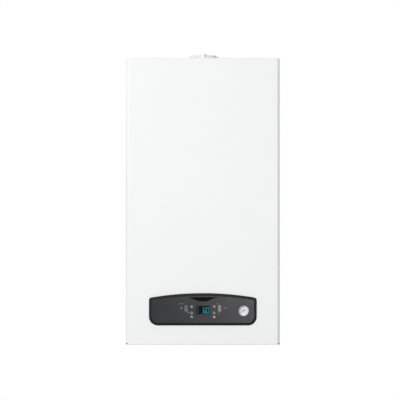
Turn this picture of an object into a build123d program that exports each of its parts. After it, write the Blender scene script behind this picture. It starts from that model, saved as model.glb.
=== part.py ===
from build123d import *
from math import cos, radians, sin, sqrt
import os

# A wall-hung gas combination boiler, built up from its separate pieces.
# All sizes are in millimetres. X runs to the right, Y towards the wall and Z up.
# The origin is the middle of the wall bracket's bolt line, on the wall itself.
# A height named with "height" or "level" counts up from the bottom edge of the case.

# ---------------------------------------------------------------- driving dimensions

# The case as a whole
case_width = 400
case_height = 745
case_depth = 319
bolt_line_drop = 40          # from the top of the case down to the bolt line
skin = 1                     # painted steel sheet of the panels
steel = 1.5                  # plated steel of the frame

# The wall bracket and the back frame that hangs on it
bracket_length = 330
bracket_sheet = 2
bracket_reach = 9            # from the wall to the front of the hooking lip
bracket_height = 40
lip_height = 16
bolt_end = 25                # from each end of the bracket to its bolt
bolt_slot_length = 20
bolt_slot_radius = 4.5
hang_gap = 1                 # between the bracket's lip and the back frame
hook_width = 40
hook_spacing = 200
hook_drop = 12
frame_margin = 1             # the back plate stands this far inside the case

# The front casing
casing_side_depth = 45
casing_edge_radius = 8
casing_top_radius = 4.5
casing_bottom_radius = 2
rim_width = 12               # the side returns that the seal lies on
rim_top_width = 22
corner_relief = 4.5
seal_thickness = 2
seal_squeeze = 0.2           # left between the seal and the side panels
seal_inset = 4
seal_width = 8
panel_return = 11
edge_return = 12
pin_radius = 3
pin_clearance = 0.3
pin_spacing = 300
pin_length = 20
pin_drop = 8                 # from the top of the case to the locating pins
fastener_spacing = 300
fastener_setback = 34        # from the front of the case to the fasteners
cup_radius = 9
cup_depth = 4.5
fastener_head_radius = 6.5
fastener_shank_radius = 3
foot_gap = 0.3               # between a fastener's cup and the foot above it
foot_width = 24
slot_gap = 0.5

# The control panel in the front casing
fascia_width = 277.8
fascia_low = 51.3
fascia_crown = 133.2
fascia_arch_radius = 800
fascia_top_corner = 6.5
fascia_low_corner = 22
fascia_proud = 6             # how far it stands out of the casing
fascia_plate = 3
fascia_bevel_depth = 3.5
fascia_bevel_width = 6
fascia_rim = 2.5
window_gap = 1               # between the fascia and the casing's cut-out
crease_height = 62.5
crease_left = -78
crease_right = 89
hinge_depth = 6              # the tilt axis lies this far behind the casing's face
hinge_drop = 6               # and this far below the edge of the cut-out
hinge_pin_radius = 2
hinge_clearance = 0.05
hinge_eye_radius = 4.4
hinge_arm_x = 127            # the fixed arms' inner faces
neck_x = 100                 # the swinging arms' inner faces
neck_width = 12
neck_reach = 12
neck_sheet = 3
box_half_width = 122
box_wall = 2
box_swing_radius = 75        # the box turns inside this radius
box_reach = 55               # how far the box runs back from the tilt axis
box_floor = 10               # above the tilt axis
box_ceiling = 72
flange_inset = 3
board_thickness = 1.6
board_setback = 4            # from the box's flange back to the board
button_switch_length = 5
relay_x = (-100, -82, -64)
relay_size = (14, 16, 12)    # width, depth and height
board_transformer_size = (40, 26, 32)
capacitor_x = (20, 40)
capacitor_radius = 7
capacitor_length = 22
connector_x = (-110, -80, -50, 10, 40, 65)
connector_size = (18, 9, 9)
board_left = -118
board_right = 88
switch_radius = 2.5
button_clearance = 0.3
button_proud = 1
button_flange = 0.8
button_travel = 0.8
switch_gap = 0.2             # left when a button is fully pressed
button_level = 95.8
button_radius = 4.4
on_off_radius = 4
mode_button_size = (9.6, 16.8)
reset_button_size = (8.2, 17.2)
plus_level = 99.4
minus_level = 82.8
water_button_x = -28.8
heating_button_x = 29.6
mode_button_x = -43.3
reset_button_x = 43.6
rocker_level = 94.7
on_off_x = -55.5
display_x = 0.5
display_level = 90.8
display_size = (37, 22)
display_ledge = 1.5
window_thickness = 1.5
badge_level = 124
badge_height = 11
badge_top_width = 76
badge_low_width = 32
badge_thickness = 1
gauge_x = 105.6
gauge_level = 88.7
gauge_face_radius = 13.25
gauge_wall = 0.8
gauge_depth = 30
needle_length = 8.3
needle_angle = 211           # counter-clockwise from the right, seen from the front
needle_spindle_radius = 0.6

# The flue connection on top
flue_y = -130
flue_bore_radius = 30
flue_rim_radius = 35
flue_wall = 2
air_pipe_radius = 50
collar_flange_radius = 62
collar_flange = 3
collar_wall_top = 8          # above the top of the case
collar_shoulder = 9.3
collar_shoulder_radius = 48
collar_rim_top = 17
collar_sheet = 2.5
air_slot_angle = 32          # from the right, towards the front and the back
air_slot_length = 26
air_slot_width = 6
test_cap_radius = 8
test_cap_top = 19.8
test_cap_seat = 17.2         # the top of the socket under each cap
test_cap_setout = 41.2

# The bottom plate and what passes through it
floor_height = 30
floor_front = -235
floor_flange = 12
tail_low = 6                 # where the pipe tails end, above the case's bottom edge
tail_y = -110
tail_share = 0.1625          # the tails' spacing, as a share of the case's width
tail_thread = 10             # plain length of the two tails that the filling link joins
tail_collar = 2
big_tail_radius = 13.2       # three-quarter inch thread
small_tail_radius = 10.5     # half inch thread
tail_hole_gap = 1.5
tail_wall = 4
drain_setback = 72           # from the return tower in to the drain
drain_y = -195
drain_radius = 11
gland_setback = 35           # from the case's side
gland_hexagon = 22
gland_nut = 5
gland_head = 6
gland_cap = 8
gland_cap_radius = 9
gland_y = -200
gland_hole_radius = 8
gland_bore_radius = 4
relief_pipe_setback = 22
relief_pipe_y = -95
relief_pipe_radius = 7.5

# The heat exchanger and burner
exchanger_drop = 275         # from the top of the case
exchanger_radius = 115
exchanger_wall = 3
exchanger_rear = -80
exchanger_front = -205
bridge_half_height = 90
bridge_gap = 14              # from the side panel to the bridge's leg
door_radius = 118
door_thickness = 10
door_boss_radius = 40
door_boss = 7
nut_circle_radius = 108
nut_count = 6
door_nut = 10                # across the flats
door_nut_thickness = 5
door_stud_radius = 3
door_stud = 4                # past the nut
door_rib = (60, 7)
door_rib_height = 4
door_rib_circle = 28         # outside the boss
door_edge_radius = 2.5
spark_seat = 9               # half the width of the electrode's seat
spark_seat_depth = 6
coil_inner_radius = 80
coil_outer_radius = 104
coil_core_radius = 94
coil_core_wall = 6
coil_turns = 12
coil_fin = 2.2
burner_radius = 35
burner_length = 85
water_stub_x = 100
water_stub_y = -125
water_stub_drop = 75
nut_height = 16
pipe_nut = 23                # across the flats
pipe_first_drop = 55
pipe_second_drop = 115
pipe_bend = 30
water_pipe_radius = 9
water_pipe_bore = 6.5
condensate_y = -150
condensate_drop = 130
hose_radius = 9
hose_bore = 7
hose_overlap = 10
hose_first_drop = 24
hose_second_drop = 78
hose_setback = 10
hose_rise = 26
hose_slope = 36
hose_bend = 20
spigot_rise = 130
duct_collar = 24
electrode_x = 38
electrode_rise = 38
electrode_flange = 8
electrode_back = 25          # how far the ceramic stands out of the door
electrode_reach = 43         # how far the wire reaches into the shell
electrode_wire = 1.2
boot_radius = 7
boot_length = 36
boot_overlap = 14
lead_radius = 3
lead_bore = 0.8
lead_run = 80                # to the right of the electrode
lead_rise = 45
transformer_width = 39
transformer_depth = 50
transformer_height = 60
transformer_setback = 104    # behind the front skin
transformer_drop = 145       # from the top of the case
terminal_radius = 6
terminal_length = 10
terminal_x = 18
ceramic_radius = 4
electrode_clearance = 0.1

# The fan and the gas and air train
manifold_half_width = 22
manifold_depth = 48
manifold_drop = 63           # from the fan's axis
manifold_lip = 8
manifold_lip_height = 6
manifold_wall = 3
manifold_floor = 4
manifold_inset = 2           # of its round foot and its lip
fan_x = -42
fan_drop = 90                # from the top of the case
fan_radius = 62
fan_gap_share = 0.06         # shares of the depth between the casing and the flue duct
fan_motor_share = 0.23
fan_share = 0.26
venturi_share = 0.26
silencer_share = 0.19
duct_gap = 0.5
fan_wall = 3
fan_blades = 12
fan_blade = (28, 2)
fan_blade_circle = 36
fan_hub_radius = 9
fan_play = 5
impeller_radius = 52
shaft_radius = 3
shaft_clearance = 0.05
fan_motor_radius = 36
fan_plug_half_width = 14
fan_plug_depth = 20
motor_bore = 18
venturi_radius = 28
venturi_bore = 20
venturi_flange = 6
silencer_left = -170
silencer_right = 20
silencer_half_height = 45
silencer_wall = 3
silencer_slot = (15, 50)     # from its left end
valve_half_width = 45
valve_drop = 160             # from the exchanger's axis to the top of the valve
valve_height = 95
valve_front = -255
valve_rear = -175
valve_coil_length = 19
gas_pipe_radius = 9
gas_pipe_bore = 7.5
gas_feed_gap = 22            # from the exchanger's door to the pipe's centre
gas_feed_radius = 7

# The expansion vessel behind the heat exchanger
vessel_gap = 15              # to the bridge's legs
vessel_height = 440
vessel_depth = 63.5
vessel_corner = 40
vessel_round = 24
vessel_seam = 3
vessel_seam_reach = 4
vessel_pipe_radius = 6
vessel_wall = 1.2
vessel_nozzle = 12           # below the vessel

# The water side at the bottom
tower_radius = 26
tower_top = 190
arm_top = 58
arm_half_depth = 25
block_corner = 8
arm_gap = 80                 # from the tower's axis to the arm's inner end
volute_radius = 46
volute_depth = 45
pump_level = 140
pump_front = -165            # the volute's front face
pump_motor_radius = 45
pump_motor_depth = 70
pump_impeller_radius = 36
pump_wheel_setback = 26
pump_wheel_depth = 18
pump_hub_radius = 10
pump_shaft = 42
pump_blade = (24, 2)
pump_blade_circle = 21
pump_box_half_width = 26
pump_box_depth = 52
pump_box_low = 30
pump_box_high = 58
pump_fins = 5
pump_fin = 4
pump_fin_pitch = 10
plate_gap = 44               # from the tower's axis to the plates' ends
plate_rear = -95
plate_front = -160
plate_height = 60
plate_count = 11
plate_port_x = 66
plate_port_radius = 7
actuator_depth = 50
actuator_width = 50
spindle_radius = 3
spindle_stroke = 6
valve_cavity_radius = 12
valve_cavity_depth = 40
valve_half = 24
relief_y = -95
relief_body_radius = 14
relief_body_height = 25
relief_outlet = 10           # the outlet's length beside the body
relief_outlet_rise = 12
relief_outlet_hexagon = 18
knob_radius = 16
knob_height = 18
trap_radius = 22
trap_low = 60
trap_gap = 65                # below the gas valve, so the hose passes under it
trap_neck = 16
tap_level = 21.5
tap_radius = 8
tap_depth = 14
tap_link_radius = 5
tap_body_radius = 7

# ---------------------------------------------------------------- worked out from them

base = bolt_line_drop - case_height
bolt_line_top = case_height - bolt_line_drop + bracket_height / 2
bolt_spacing = bracket_length - 2 * bolt_end
half_width = case_width / 2
front = -case_depth
transformer_y = front + transformer_setback
casing_rear = front + casing_side_depth
shell_front = casing_rear + seal_thickness
frame_rear = -(bracket_reach + hang_gap)
frame_front = frame_rear - steel
inner_half = half_width - skin
inner_top = case_height - skin
floor_top = floor_height + steel
tilt_y = front + hinge_depth
tilt_level = fascia_low - window_gap - hinge_drop
fascia_front = front - fascia_proud
fascia_back = fascia_front + fascia_plate
casing_inside = front + skin
flange_rear = casing_inside + box_wall
board_front = flange_rear + board_setback
exchanger_level = case_height - exchanger_drop
bridge_low = exchanger_level - bridge_half_height
bridge_high = exchanger_level + bridge_half_height
bridge_half_width = inner_half - bridge_gap
water_stub_low = exchanger_level - water_stub_drop
condensate_low = exchanger_level - condensate_drop
spigot_top = exchanger_level + spigot_rise
electrode_level = exchanger_level + electrode_rise
duct_bore = flue_bore_radius - flue_wall
duct_front = flue_y - flue_bore_radius - 2 * flue_wall - duct_gap
vessel_width = 2 * (bridge_half_width - vessel_gap)
vessel_low = exchanger_level - vessel_height / 2
tail_spacing = tail_share * case_width
tower_x = 2 * tail_spacing
tap_x = 1.5 * tail_spacing
drain_x = tower_x - drain_setback
gland_x = half_width - gland_setback
relief_pipe_x = relief_pipe_setback - half_width
arm_inner_x = tower_x - arm_gap
plate_half_width = tower_x - plate_gap
door_front = exchanger_front - door_thickness
manifold_rear = door_front - door_boss
bay_depth = duct_front - casing_inside
fan_motor_depth = fan_motor_share * bay_depth
fan_depth = fan_share * bay_depth
venturi_length = venturi_share * bay_depth
silencer_depth = silencer_share * bay_depth
fan_front = casing_inside + fan_gap_share * bay_depth + fan_motor_depth
fan_rear = fan_front + fan_depth
silencer_front = fan_rear + venturi_length
fan_level = case_height - fan_drop
manifold_top = fan_level - manifold_drop
silencer_low = fan_level - silencer_half_height
silencer_high = fan_level + silencer_half_height
gas_y = fan_rear + venturi_length / 2
gas_feed_x = -(door_radius + gas_feed_gap)
valve_high = exchanger_level - valve_drop
valve_low = valve_high - valve_height
trap_top = valve_low - trap_gap


# ---------------------------------------------------------------- shapes used often

def upright(x, y, height):
    """A plane facing up at a height above the case's bottom edge."""
    return Plane((x, y, base + height))


def facing(x, y, height):
    """A plane facing the front, with its own up direction upwards."""
    return Plane(origin=(x, y, base + height), x_dir=(1, 0, 0), z_dir=(0, -1, 0))


def sideways(x, y, height):
    """A plane facing right, with its own X towards the wall."""
    return Plane(origin=(x, y, base + height), x_dir=(0, 1, 0), z_dir=(1, 0, 0))


def block(x, y, height, mode=Mode.ADD):
    """A straight block between two limits along each direction."""
    centre = (sum(x) / 2, sum(y) / 2, base + sum(height) / 2)
    with Locations(centre):
        Box(abs(x[1] - x[0]), abs(y[1] - y[0]), abs(height[1] - height[0]), mode=mode)


def rod(plane, radius, length, mode=Mode.ADD):
    """A round bar, or a round hole, that starts on a plane and follows its normal."""
    with Locations(plane):
        Cylinder(radius, length, align=(Align.CENTER, Align.CENTER, Align.MIN), mode=mode)


def hexagon(plane, across_flats, length, mode=Mode.ADD):
    """A hexagonal bar that starts on a plane and follows its normal."""
    with BuildSketch(plane) as profile:
        RegularPolygon(across_flats / 2, 6, major_radius=False)
    extrude(profile.sketch, amount=length, mode=mode)


def tube(points, bend, outer, inner):
    """A bent tube of straight runs, given as x, y and height, joined by equal bends."""
    with BuildLine() as route:
        FilletPolyline(*[(x, y, base + height) for x, y, height in points], radius=bend)
    with BuildSketch(Plane(origin=route.line @ 0, z_dir=route.line % 0)) as ring:
        Circle(outer)
        Circle(inner, mode=Mode.SUBTRACT)
    sweep(ring.sketch, path=route.line)


def fascia_outline(y, grow):
    """The control panel's outline seen from the front, grown all round by a margin."""
    half = fascia_width / 2 + grow
    low = fascia_low - grow
    crown = fascia_crown + grow
    arch = fascia_arch_radius + grow
    shoulder = crown - arch + sqrt(arch**2 - half**2)
    with BuildSketch(facing(0, y, 0)) as outline:
        with BuildLine():
            ThreePointArc((-half, shoulder), (0, crown), (half, shoulder))
            Polyline((half, shoulder), (half, low), (-half, low), (-half, shoulder))
        make_face()
        corners = outline.vertices().group_by(Axis.Y)
        fillet(corners[0], fascia_low_corner + grow)
        fillet(outline.vertices().group_by(Axis.Y)[-1], fascia_top_corner + grow)
    return outline.sketch


def save(part, name):
    """Label a finished piece and write it to its own file."""
    part.label = name
    export_step(part, f"parts/{name}.step")


# ---------------------------------------------------------------- frame and panels

def make_wall_bracket():
    """The rail bolted to the wall: a flange, a short web and a lip standing up."""
    half_height = bracket_height / 2
    with BuildPart() as wall_bracket:
        with BuildSketch(Plane.YZ):
            with BuildLine():
                Polyline(
                    (0, -half_height),
                    (0, half_height),
                    (bracket_sheet - bracket_reach, half_height),
                    (bracket_sheet - bracket_reach, half_height + lip_height - bracket_sheet),
                    (-bracket_reach, half_height + lip_height - bracket_sheet),
                    (-bracket_reach, half_height - bracket_sheet),
                    (-bracket_sheet, half_height - bracket_sheet),
                    (-bracket_sheet, -half_height),
                    close=True,
                )
            make_face()
        extrude(amount=bracket_length / 2, both=True)
        with BuildSketch(Plane.XZ):
            with GridLocations(bolt_spacing, 0, 2, 1):
                SlotOverall(bolt_slot_length, 2 * bolt_slot_radius)
        extrude(amount=bracket_sheet, mode=Mode.SUBTRACT)
    save(wall_bracket.part, "wall_bracket")


def make_back_frame():
    """The back plate, its hooks over the bracket's lip and the exchanger's bridge."""
    lip_top = bolt_line_top + lip_height - bracket_sheet
    hook_rear = frame_rear + bracket_sheet + 2 * hang_gap + steel
    bridge_front = exchanger_rear
    bridge_back = exchanger_rear + steel
    leg_inner = bridge_half_width - steel
    with BuildPart() as back_frame:
        block((-inner_half, inner_half), (frame_front, frame_rear), (2, inner_top))
        for x in (-hook_spacing / 2, hook_spacing / 2):
            across = (x - hook_width / 2, x + hook_width / 2)
            block(across, (frame_rear, hook_rear), (lip_top, lip_top + steel))
            block(across, (hook_rear - steel, hook_rear), (lip_top - hook_drop, lip_top))
        block((-bridge_half_width, bridge_half_width), (bridge_front, bridge_back),
              (bridge_low, bridge_high))
        for side in (-1, 1):
            block((side * leg_inner, side * bridge_half_width), (bridge_back, frame_front),
                  (bridge_low, bridge_high))
    save(back_frame.part, "back_frame")


def make_side_panel(side, name):
    """One painted side, with a return at the front for the seal and one at the back."""
    outer = side * half_width
    inner = side * inner_half
    with BuildPart() as side_panel:
        block((inner, outer), (shell_front, frame_rear), (0, inner_top))
        block((side * (inner_half - panel_return), inner), (shell_front, shell_front + skin),
              (0, inner_top))
        block((side * (inner_half - edge_return), inner), (frame_front - skin, frame_front),
              (0, inner_top))
    save(side_panel.part, name)


def make_top_panel():
    """The painted top tray with the flue opening and the casing's locating pins."""
    flange_low = inner_top - edge_return
    with BuildPart() as top_panel:
        block((-half_width, half_width), (shell_front, frame_rear), (inner_top, case_height))
        block((-(inner_half - edge_return), inner_half - edge_return),
              (shell_front, shell_front + skin), (flange_low, inner_top))
        for side in (-1, 1):
            block((side * (inner_half - skin), side * inner_half),
                  (shell_front + 2 * skin, frame_front - 2 * skin), (flange_low, inner_top))
        rod(upright(0, flue_y, inner_top), air_pipe_radius - collar_sheet, skin, Mode.SUBTRACT)
        for x in (-pin_spacing / 2, pin_spacing / 2):
            rod(facing(x, shell_front, case_height - pin_drop), pin_radius, pin_length)
    save(top_panel.part, "top_panel")


def make_bottom_plate():
    """The shelf that carries the water side, the fasteners' feet and the panel's hinge arms."""
    foot_low = cup_depth + foot_gap
    foot_y = front + fastener_setback
    arm_rear = floor_front + 15
    with BuildPart() as bottom_plate:
        block((-inner_half, inner_half), (floor_front, frame_front - skin),
              (floor_height, floor_top))
        for side in (-1, 1):
            block((side * (inner_half - steel), side * inner_half),
                  (floor_front, frame_front - 2 * skin), (floor_height - floor_flange, floor_height))
        # feet that the casing's fasteners lock under
        for x in (-fastener_spacing / 2, fastener_spacing / 2):
            across = (x - foot_width / 2, x + foot_width / 2)
            block(across, (shell_front, floor_front), (floor_height, floor_top))
            block(across, (shell_front, shell_front + steel), (foot_low, floor_height))
            block(across, (foot_y - cup_radius, shell_front), (foot_low, foot_low + steel))
            slot = fastener_shank_radius + slot_gap
            block((x - slot, x + slot), (foot_y - cup_radius, foot_y),
                  (foot_low, foot_low + steel), Mode.SUBTRACT)
            rod(upright(x, foot_y, foot_low), slot, steel, Mode.SUBTRACT)
        # arms that reach forward to the control panel's tilt axis
        for side in (-1, 1):
            start = min(side * hinge_arm_x, side * (hinge_arm_x + steel))
            with BuildSketch(sideways(start, 0, 0)) as arm:
                with BuildLine():
                    Polyline(
                        (arm_rear, floor_height),
                        (arm_rear, tilt_level + 2 * hinge_eye_radius),
                        (tilt_y, tilt_level + hinge_eye_radius),
                        (tilt_y, tilt_level - hinge_eye_radius),
                        close=True,
                    )
                make_face()
                with Locations((tilt_y, tilt_level)):
                    Circle(hinge_eye_radius)
            extrude(arm.sketch, amount=steel)
            pin_start = min(side * (neck_x - 2), side * (hinge_arm_x + steel))
            rod(sideways(pin_start, tilt_y, tilt_level), hinge_pin_radius,
                hinge_arm_x + steel - neck_x + 2)
        # holes for what passes down through the plate
        for x, radius in (
            (-tower_x, big_tail_radius),
            (-tail_spacing, small_tail_radius),
            (0, big_tail_radius),
            (tail_spacing, small_tail_radius),
            (tower_x, big_tail_radius),
        ):
            rod(upright(x, tail_y, floor_height), radius + tail_hole_gap, steel, Mode.SUBTRACT)
        rod(upright(relief_pipe_x, relief_pipe_y, floor_height),
            relief_pipe_radius + tail_hole_gap, steel, Mode.SUBTRACT)
        rod(upright(drain_x, drain_y, floor_height), drain_radius + tail_hole_gap, steel,
            Mode.SUBTRACT)
        rod(upright(gland_x, gland_y, floor_height), gland_hole_radius + hinge_clearance, steel,
            Mode.SUBTRACT)
    save(bottom_plate.part, "bottom_plate")


# ---------------------------------------------------------------- front casing

def make_front_casing():
    """The removable painted front: a folded tray with a window for the control panel."""
    with BuildPart() as front_casing:
        with BuildSketch(upright(0, 0, 0)) as plan:
            with Locations((0, (front + casing_rear) / 2)):
                Rectangle(case_width, casing_side_depth)
            fillet(plan.vertices().group_by(Axis.Y)[0], casing_edge_radius)
        extrude(amount=case_height)
        top_edges = front_casing.faces().sort_by(Axis.Z)[-1].edges().sort_by(Axis.Y)[:-1]
        fillet(top_edges, casing_top_radius)
        low_edges = front_casing.faces().sort_by(Axis.Z)[0].edges().sort_by(Axis.Y)[:-1]
        fillet(low_edges, casing_bottom_radius)
        offset(amount=-skin, openings=front_casing.faces().sort_by(Axis.Y)[-1])
        # the returns at the sides and the top
        rim = (casing_rear - skin, casing_rear)
        for side in (-1, 1):
            block((side * (inner_half - rim_width), side * inner_half), rim, (skin, inner_top))
        block((-inner_half, inner_half), rim, (inner_top - rim_top_width, inner_top))
        for x in (-pin_spacing / 2, pin_spacing / 2):
            rod(facing(x, casing_rear, case_height - pin_drop), pin_radius + pin_clearance, skin,
                Mode.SUBTRACT)
        # cups that hide the fasteners' heads above the bottom edge
        for x in (-fastener_spacing / 2, fastener_spacing / 2):
            y = front + fastener_setback
            rod(upright(x, y, 0), cup_radius, cup_depth)
            rod(upright(x, y, 0), cup_radius - skin, cup_depth - skin, Mode.SUBTRACT)
            rod(upright(x, y, 0), fastener_shank_radius + pin_clearance, cup_depth, Mode.SUBTRACT)
        # the folded corners' relief notches
        for side in (-1, 1):
            block((side * (half_width - corner_relief), side * half_width),
                  (front, front + casing_edge_radius), (0, corner_relief), Mode.SUBTRACT)
        extrude(fascia_outline(casing_inside, window_gap), amount=2 * skin, mode=Mode.SUBTRACT)
    save(front_casing.part, "front_casing")


def make_casing_gasket():
    """The black seal stuck round the casing's rim, open at the bottom."""
    outer = half_width - seal_inset
    inner = outer - seal_width
    top = case_height - seal_inset
    depth = (casing_rear, shell_front - seal_squeeze)
    with BuildPart() as casing_gasket:
        for side in (-1, 1):
            block((side * inner, side * outer), depth, (seal_inset, top))
        block((-outer, outer), depth, (top - seal_width, top))
        for x in (-pin_spacing / 2, pin_spacing / 2):
            rod(facing(x, shell_front, case_height - pin_drop), pin_radius + 2 * pin_clearance,
                seal_thickness, Mode.SUBTRACT)
    save(casing_gasket.part, "casing_gasket")


def make_casing_fasteners():
    """Two quarter-turn screws that lock the casing's bottom to the feet."""
    ceiling = cup_depth - skin
    wing_low = cup_depth + foot_gap + steel + foot_gap
    with BuildPart() as casing_fasteners:
        for x in (-fastener_spacing / 2, fastener_spacing / 2):
            y = front + fastener_setback
            rod(upright(x, y, 0.6), fastener_head_radius, ceiling - 0.6)
            block((x - fastener_head_radius, x + fastener_head_radius), (y - 0.8, y + 0.8),
                  (0.6, 1.8), Mode.SUBTRACT)
            rod(upright(x, y, ceiling), fastener_shank_radius, wing_low + 4 - ceiling)
            block((x - cup_radius, x + cup_radius), (y - 2, y + 2), (wing_low, wing_low + 2))
    save(casing_fasteners.part, "casing_fasteners")


# ---------------------------------------------------------------- control panel

def cut_button_hole(x, height, size):
    """A through hole in the fascia for a round or an upright oblong button."""
    with BuildSketch(facing(x, fascia_back, height)) as hole:
        if size[0] == size[1]:
            Circle(size[0] / 2 + button_clearance)
        else:
            SlotOverall(size[1] + 2 * button_clearance, size[0] + 2 * button_clearance, rotation=90)
    extrude(hole.sketch, amount=fascia_plate, mode=Mode.SUBTRACT)


def make_button(x, height, size, name):
    """A push button: a cap through the fascia, a flange behind it and a stem to its switch."""
    flange_front = fascia_back + button_clearance
    flange_back = flange_front + 1
    switch_front = board_front - button_switch_length
    stem_end = switch_front - switch_gap - button_travel
    with BuildPart() as button:
        with BuildSketch(facing(x, flange_back, height)) as rim:
            if size[0] == size[1]:
                Circle(size[0] / 2 + button_flange)
            else:
                SlotOverall(size[1] + 2 * button_flange, size[0] + 2 * button_flange, rotation=90)
        extrude(rim.sketch, amount=1)
        with BuildSketch(facing(x, flange_front, height)) as cap:
            if size[0] == size[1]:
                Circle(size[0] / 2)
            else:
                SlotOverall(size[1], size[0], rotation=90)
        extrude(cap.sketch, amount=flange_front - fascia_front + button_proud)
        fillet(button.faces().sort_by(Axis.Y)[0].edges(), 0.5)
        rod(facing(x, stem_end, height), 1.5, stem_end - flange_back)
    save(button.part, name)


def make_control_fascia():
    """The dark moulded front of the control panel, with its holes and its rim."""
    with BuildPart() as control_fascia:
        extrude(fascia_outline(casing_inside, 0), amount=casing_inside - fascia_front)
        face = control_fascia.faces().sort_by(Axis.Y)[0]
        chamfer(face.edges(), length=fascia_bevel_width, length2=fascia_bevel_depth, reference=face)
        hollow = casing_inside - fascia_back
        extrude(fascia_outline(casing_inside, -fascia_rim - 2), amount=hollow, mode=Mode.SUBTRACT)
        for x, height, size in buttons.values():
            cut_button_hole(x, height, size)
        block((display_x - display_size[0] / 2, display_x + display_size[0] / 2),
              (fascia_front, fascia_front + window_thickness + 0.3),
              (display_level - display_size[1] / 2, display_level + display_size[1] / 2),
              Mode.SUBTRACT)
        block((display_x - display_size[0] / 2 + display_ledge,
               display_x + display_size[0] / 2 - display_ledge),
              (fascia_front, fascia_back),
              (display_level - display_size[1] / 2 + display_ledge,
               display_level + display_size[1] / 2 - display_ledge), Mode.SUBTRACT)
        rod(facing(gauge_x, fascia_back, gauge_level), gauge_face_radius, fascia_plate,
            Mode.SUBTRACT)
        block((crease_left, crease_right), (fascia_front, fascia_front + 0.5),
              (crease_height - 0.6, crease_height + 0.6), Mode.SUBTRACT)
    save(control_fascia.part, "control_fascia")


def box_section(wall):
    """The control box seen from the side, inside a wall of some thickness."""
    low = box_floor + wall
    high = box_ceiling - wall
    rear = box_reach - wall
    front_edge = flange_rear - tilt_y
    with BuildSketch(sideways(0, tilt_y, tilt_level)) as section:
        with Locations(((rear + front_edge) / 2, (low + high) / 2)):
            Rectangle(rear - front_edge, high - low)
        Circle(box_swing_radius - wall, mode=Mode.INTERSECT)
    return section.sketch


def make_control_box():
    """The housing behind the fascia, with its flange and the two swinging hinge arms."""
    with BuildPart() as control_box:
        extrude(box_section(0), amount=box_half_width, both=True)
        extrude(fascia_outline(flange_rear, -flange_inset), amount=box_wall)
        extrude(box_section(box_wall), amount=box_half_width - box_wall, both=True,
                mode=Mode.SUBTRACT)
        block((-box_half_width + box_wall, box_half_width - box_wall), (casing_inside, flange_rear),
              (tilt_level + box_floor + box_wall, tilt_level + box_ceiling - box_wall),
              Mode.SUBTRACT)
        for side in (-1, 1):
            start = min(side * neck_x, side * (neck_x + neck_width))
            with BuildSketch(sideways(start, tilt_y, tilt_level)) as neck:
                Circle(hinge_eye_radius)
                with Locations((neck_reach / 2, 0)):
                    Rectangle(neck_reach, neck_sheet)
                with Locations((neck_reach - neck_sheet / 2, (box_floor - neck_sheet / 2) / 2)):
                    Rectangle(neck_sheet, box_floor + neck_sheet / 2)
                Circle(hinge_pin_radius + hinge_clearance, mode=Mode.SUBTRACT)
            extrude(neck.sketch, amount=neck_width)
    save(control_box.part, "control_box")


def make_control_board():
    """The circuit board in the box, with a switch behind each button."""
    floor = tilt_level + box_floor + box_wall
    ceiling = tilt_level + box_ceiling - box_wall
    board_rear = board_front + board_thickness
    with BuildPart() as control_board:
        block((board_left, board_right), (board_front, board_rear), (floor, ceiling - 1))
        for x, height, size in buttons.values():
            rod(facing(x, board_front, height), switch_radius, button_switch_length)
        width, depth, height = relay_size
        for x in relay_x:
            block((x, x + width), (board_rear, board_rear + depth), (floor + 6, floor + 6 + height))
        width, depth, height = board_transformer_size
        block((-width, 0), (board_rear, board_rear + depth), (floor + 8, floor + 8 + height))
        for x in capacitor_x:
            rod(Plane(origin=(x, board_rear, base + floor + 20), x_dir=(1, 0, 0), z_dir=(0, 1, 0)),
                capacitor_radius, capacitor_length)
        width, depth, height = connector_size
        for x in connector_x:
            block((x, x + width), (board_rear, board_rear + depth),
                  (ceiling - 3 - height, ceiling - 3))
    save(control_board.part, "control_board")


def make_display():
    """The clear window set in the fascia and the display module standing on the board."""
    width, height = display_size
    seat = fascia_front + window_thickness + 0.3
    with BuildPart() as display_window:
        block((display_x - width / 2 + 0.1, display_x + width / 2 - 0.1),
              (seat - window_thickness, seat),
              (display_level - height / 2 + 0.1, display_level + height / 2 - 0.1))
    save(display_window.part, "display_window")
    with BuildPart() as display_module:
        block((display_x - width / 2, display_x + width / 2), (fascia_back + 0.5, board_front),
              (display_level - height / 2, display_level + height / 2))
    save(display_module.part, "display_module")


def make_badge():
    """The bare black shield above the display, straight on top and bowed below."""
    low = badge_level - badge_height
    half_top = badge_top_width / 2
    half_low = badge_low_width / 2
    with BuildPart() as fascia_badge:
        with BuildSketch(facing(0, fascia_front, 0)):
            with BuildLine():
                Polyline((-half_low, low + 2.5), (-half_top, badge_level), (half_top, badge_level),
                         (half_low, low + 2.5))
                ThreePointArc((half_low, low + 2.5), (0, low), (-half_low, low + 2.5))
            make_face()
        extrude(amount=badge_thickness)
    save(fascia_badge.part, "fascia_badge")


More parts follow.
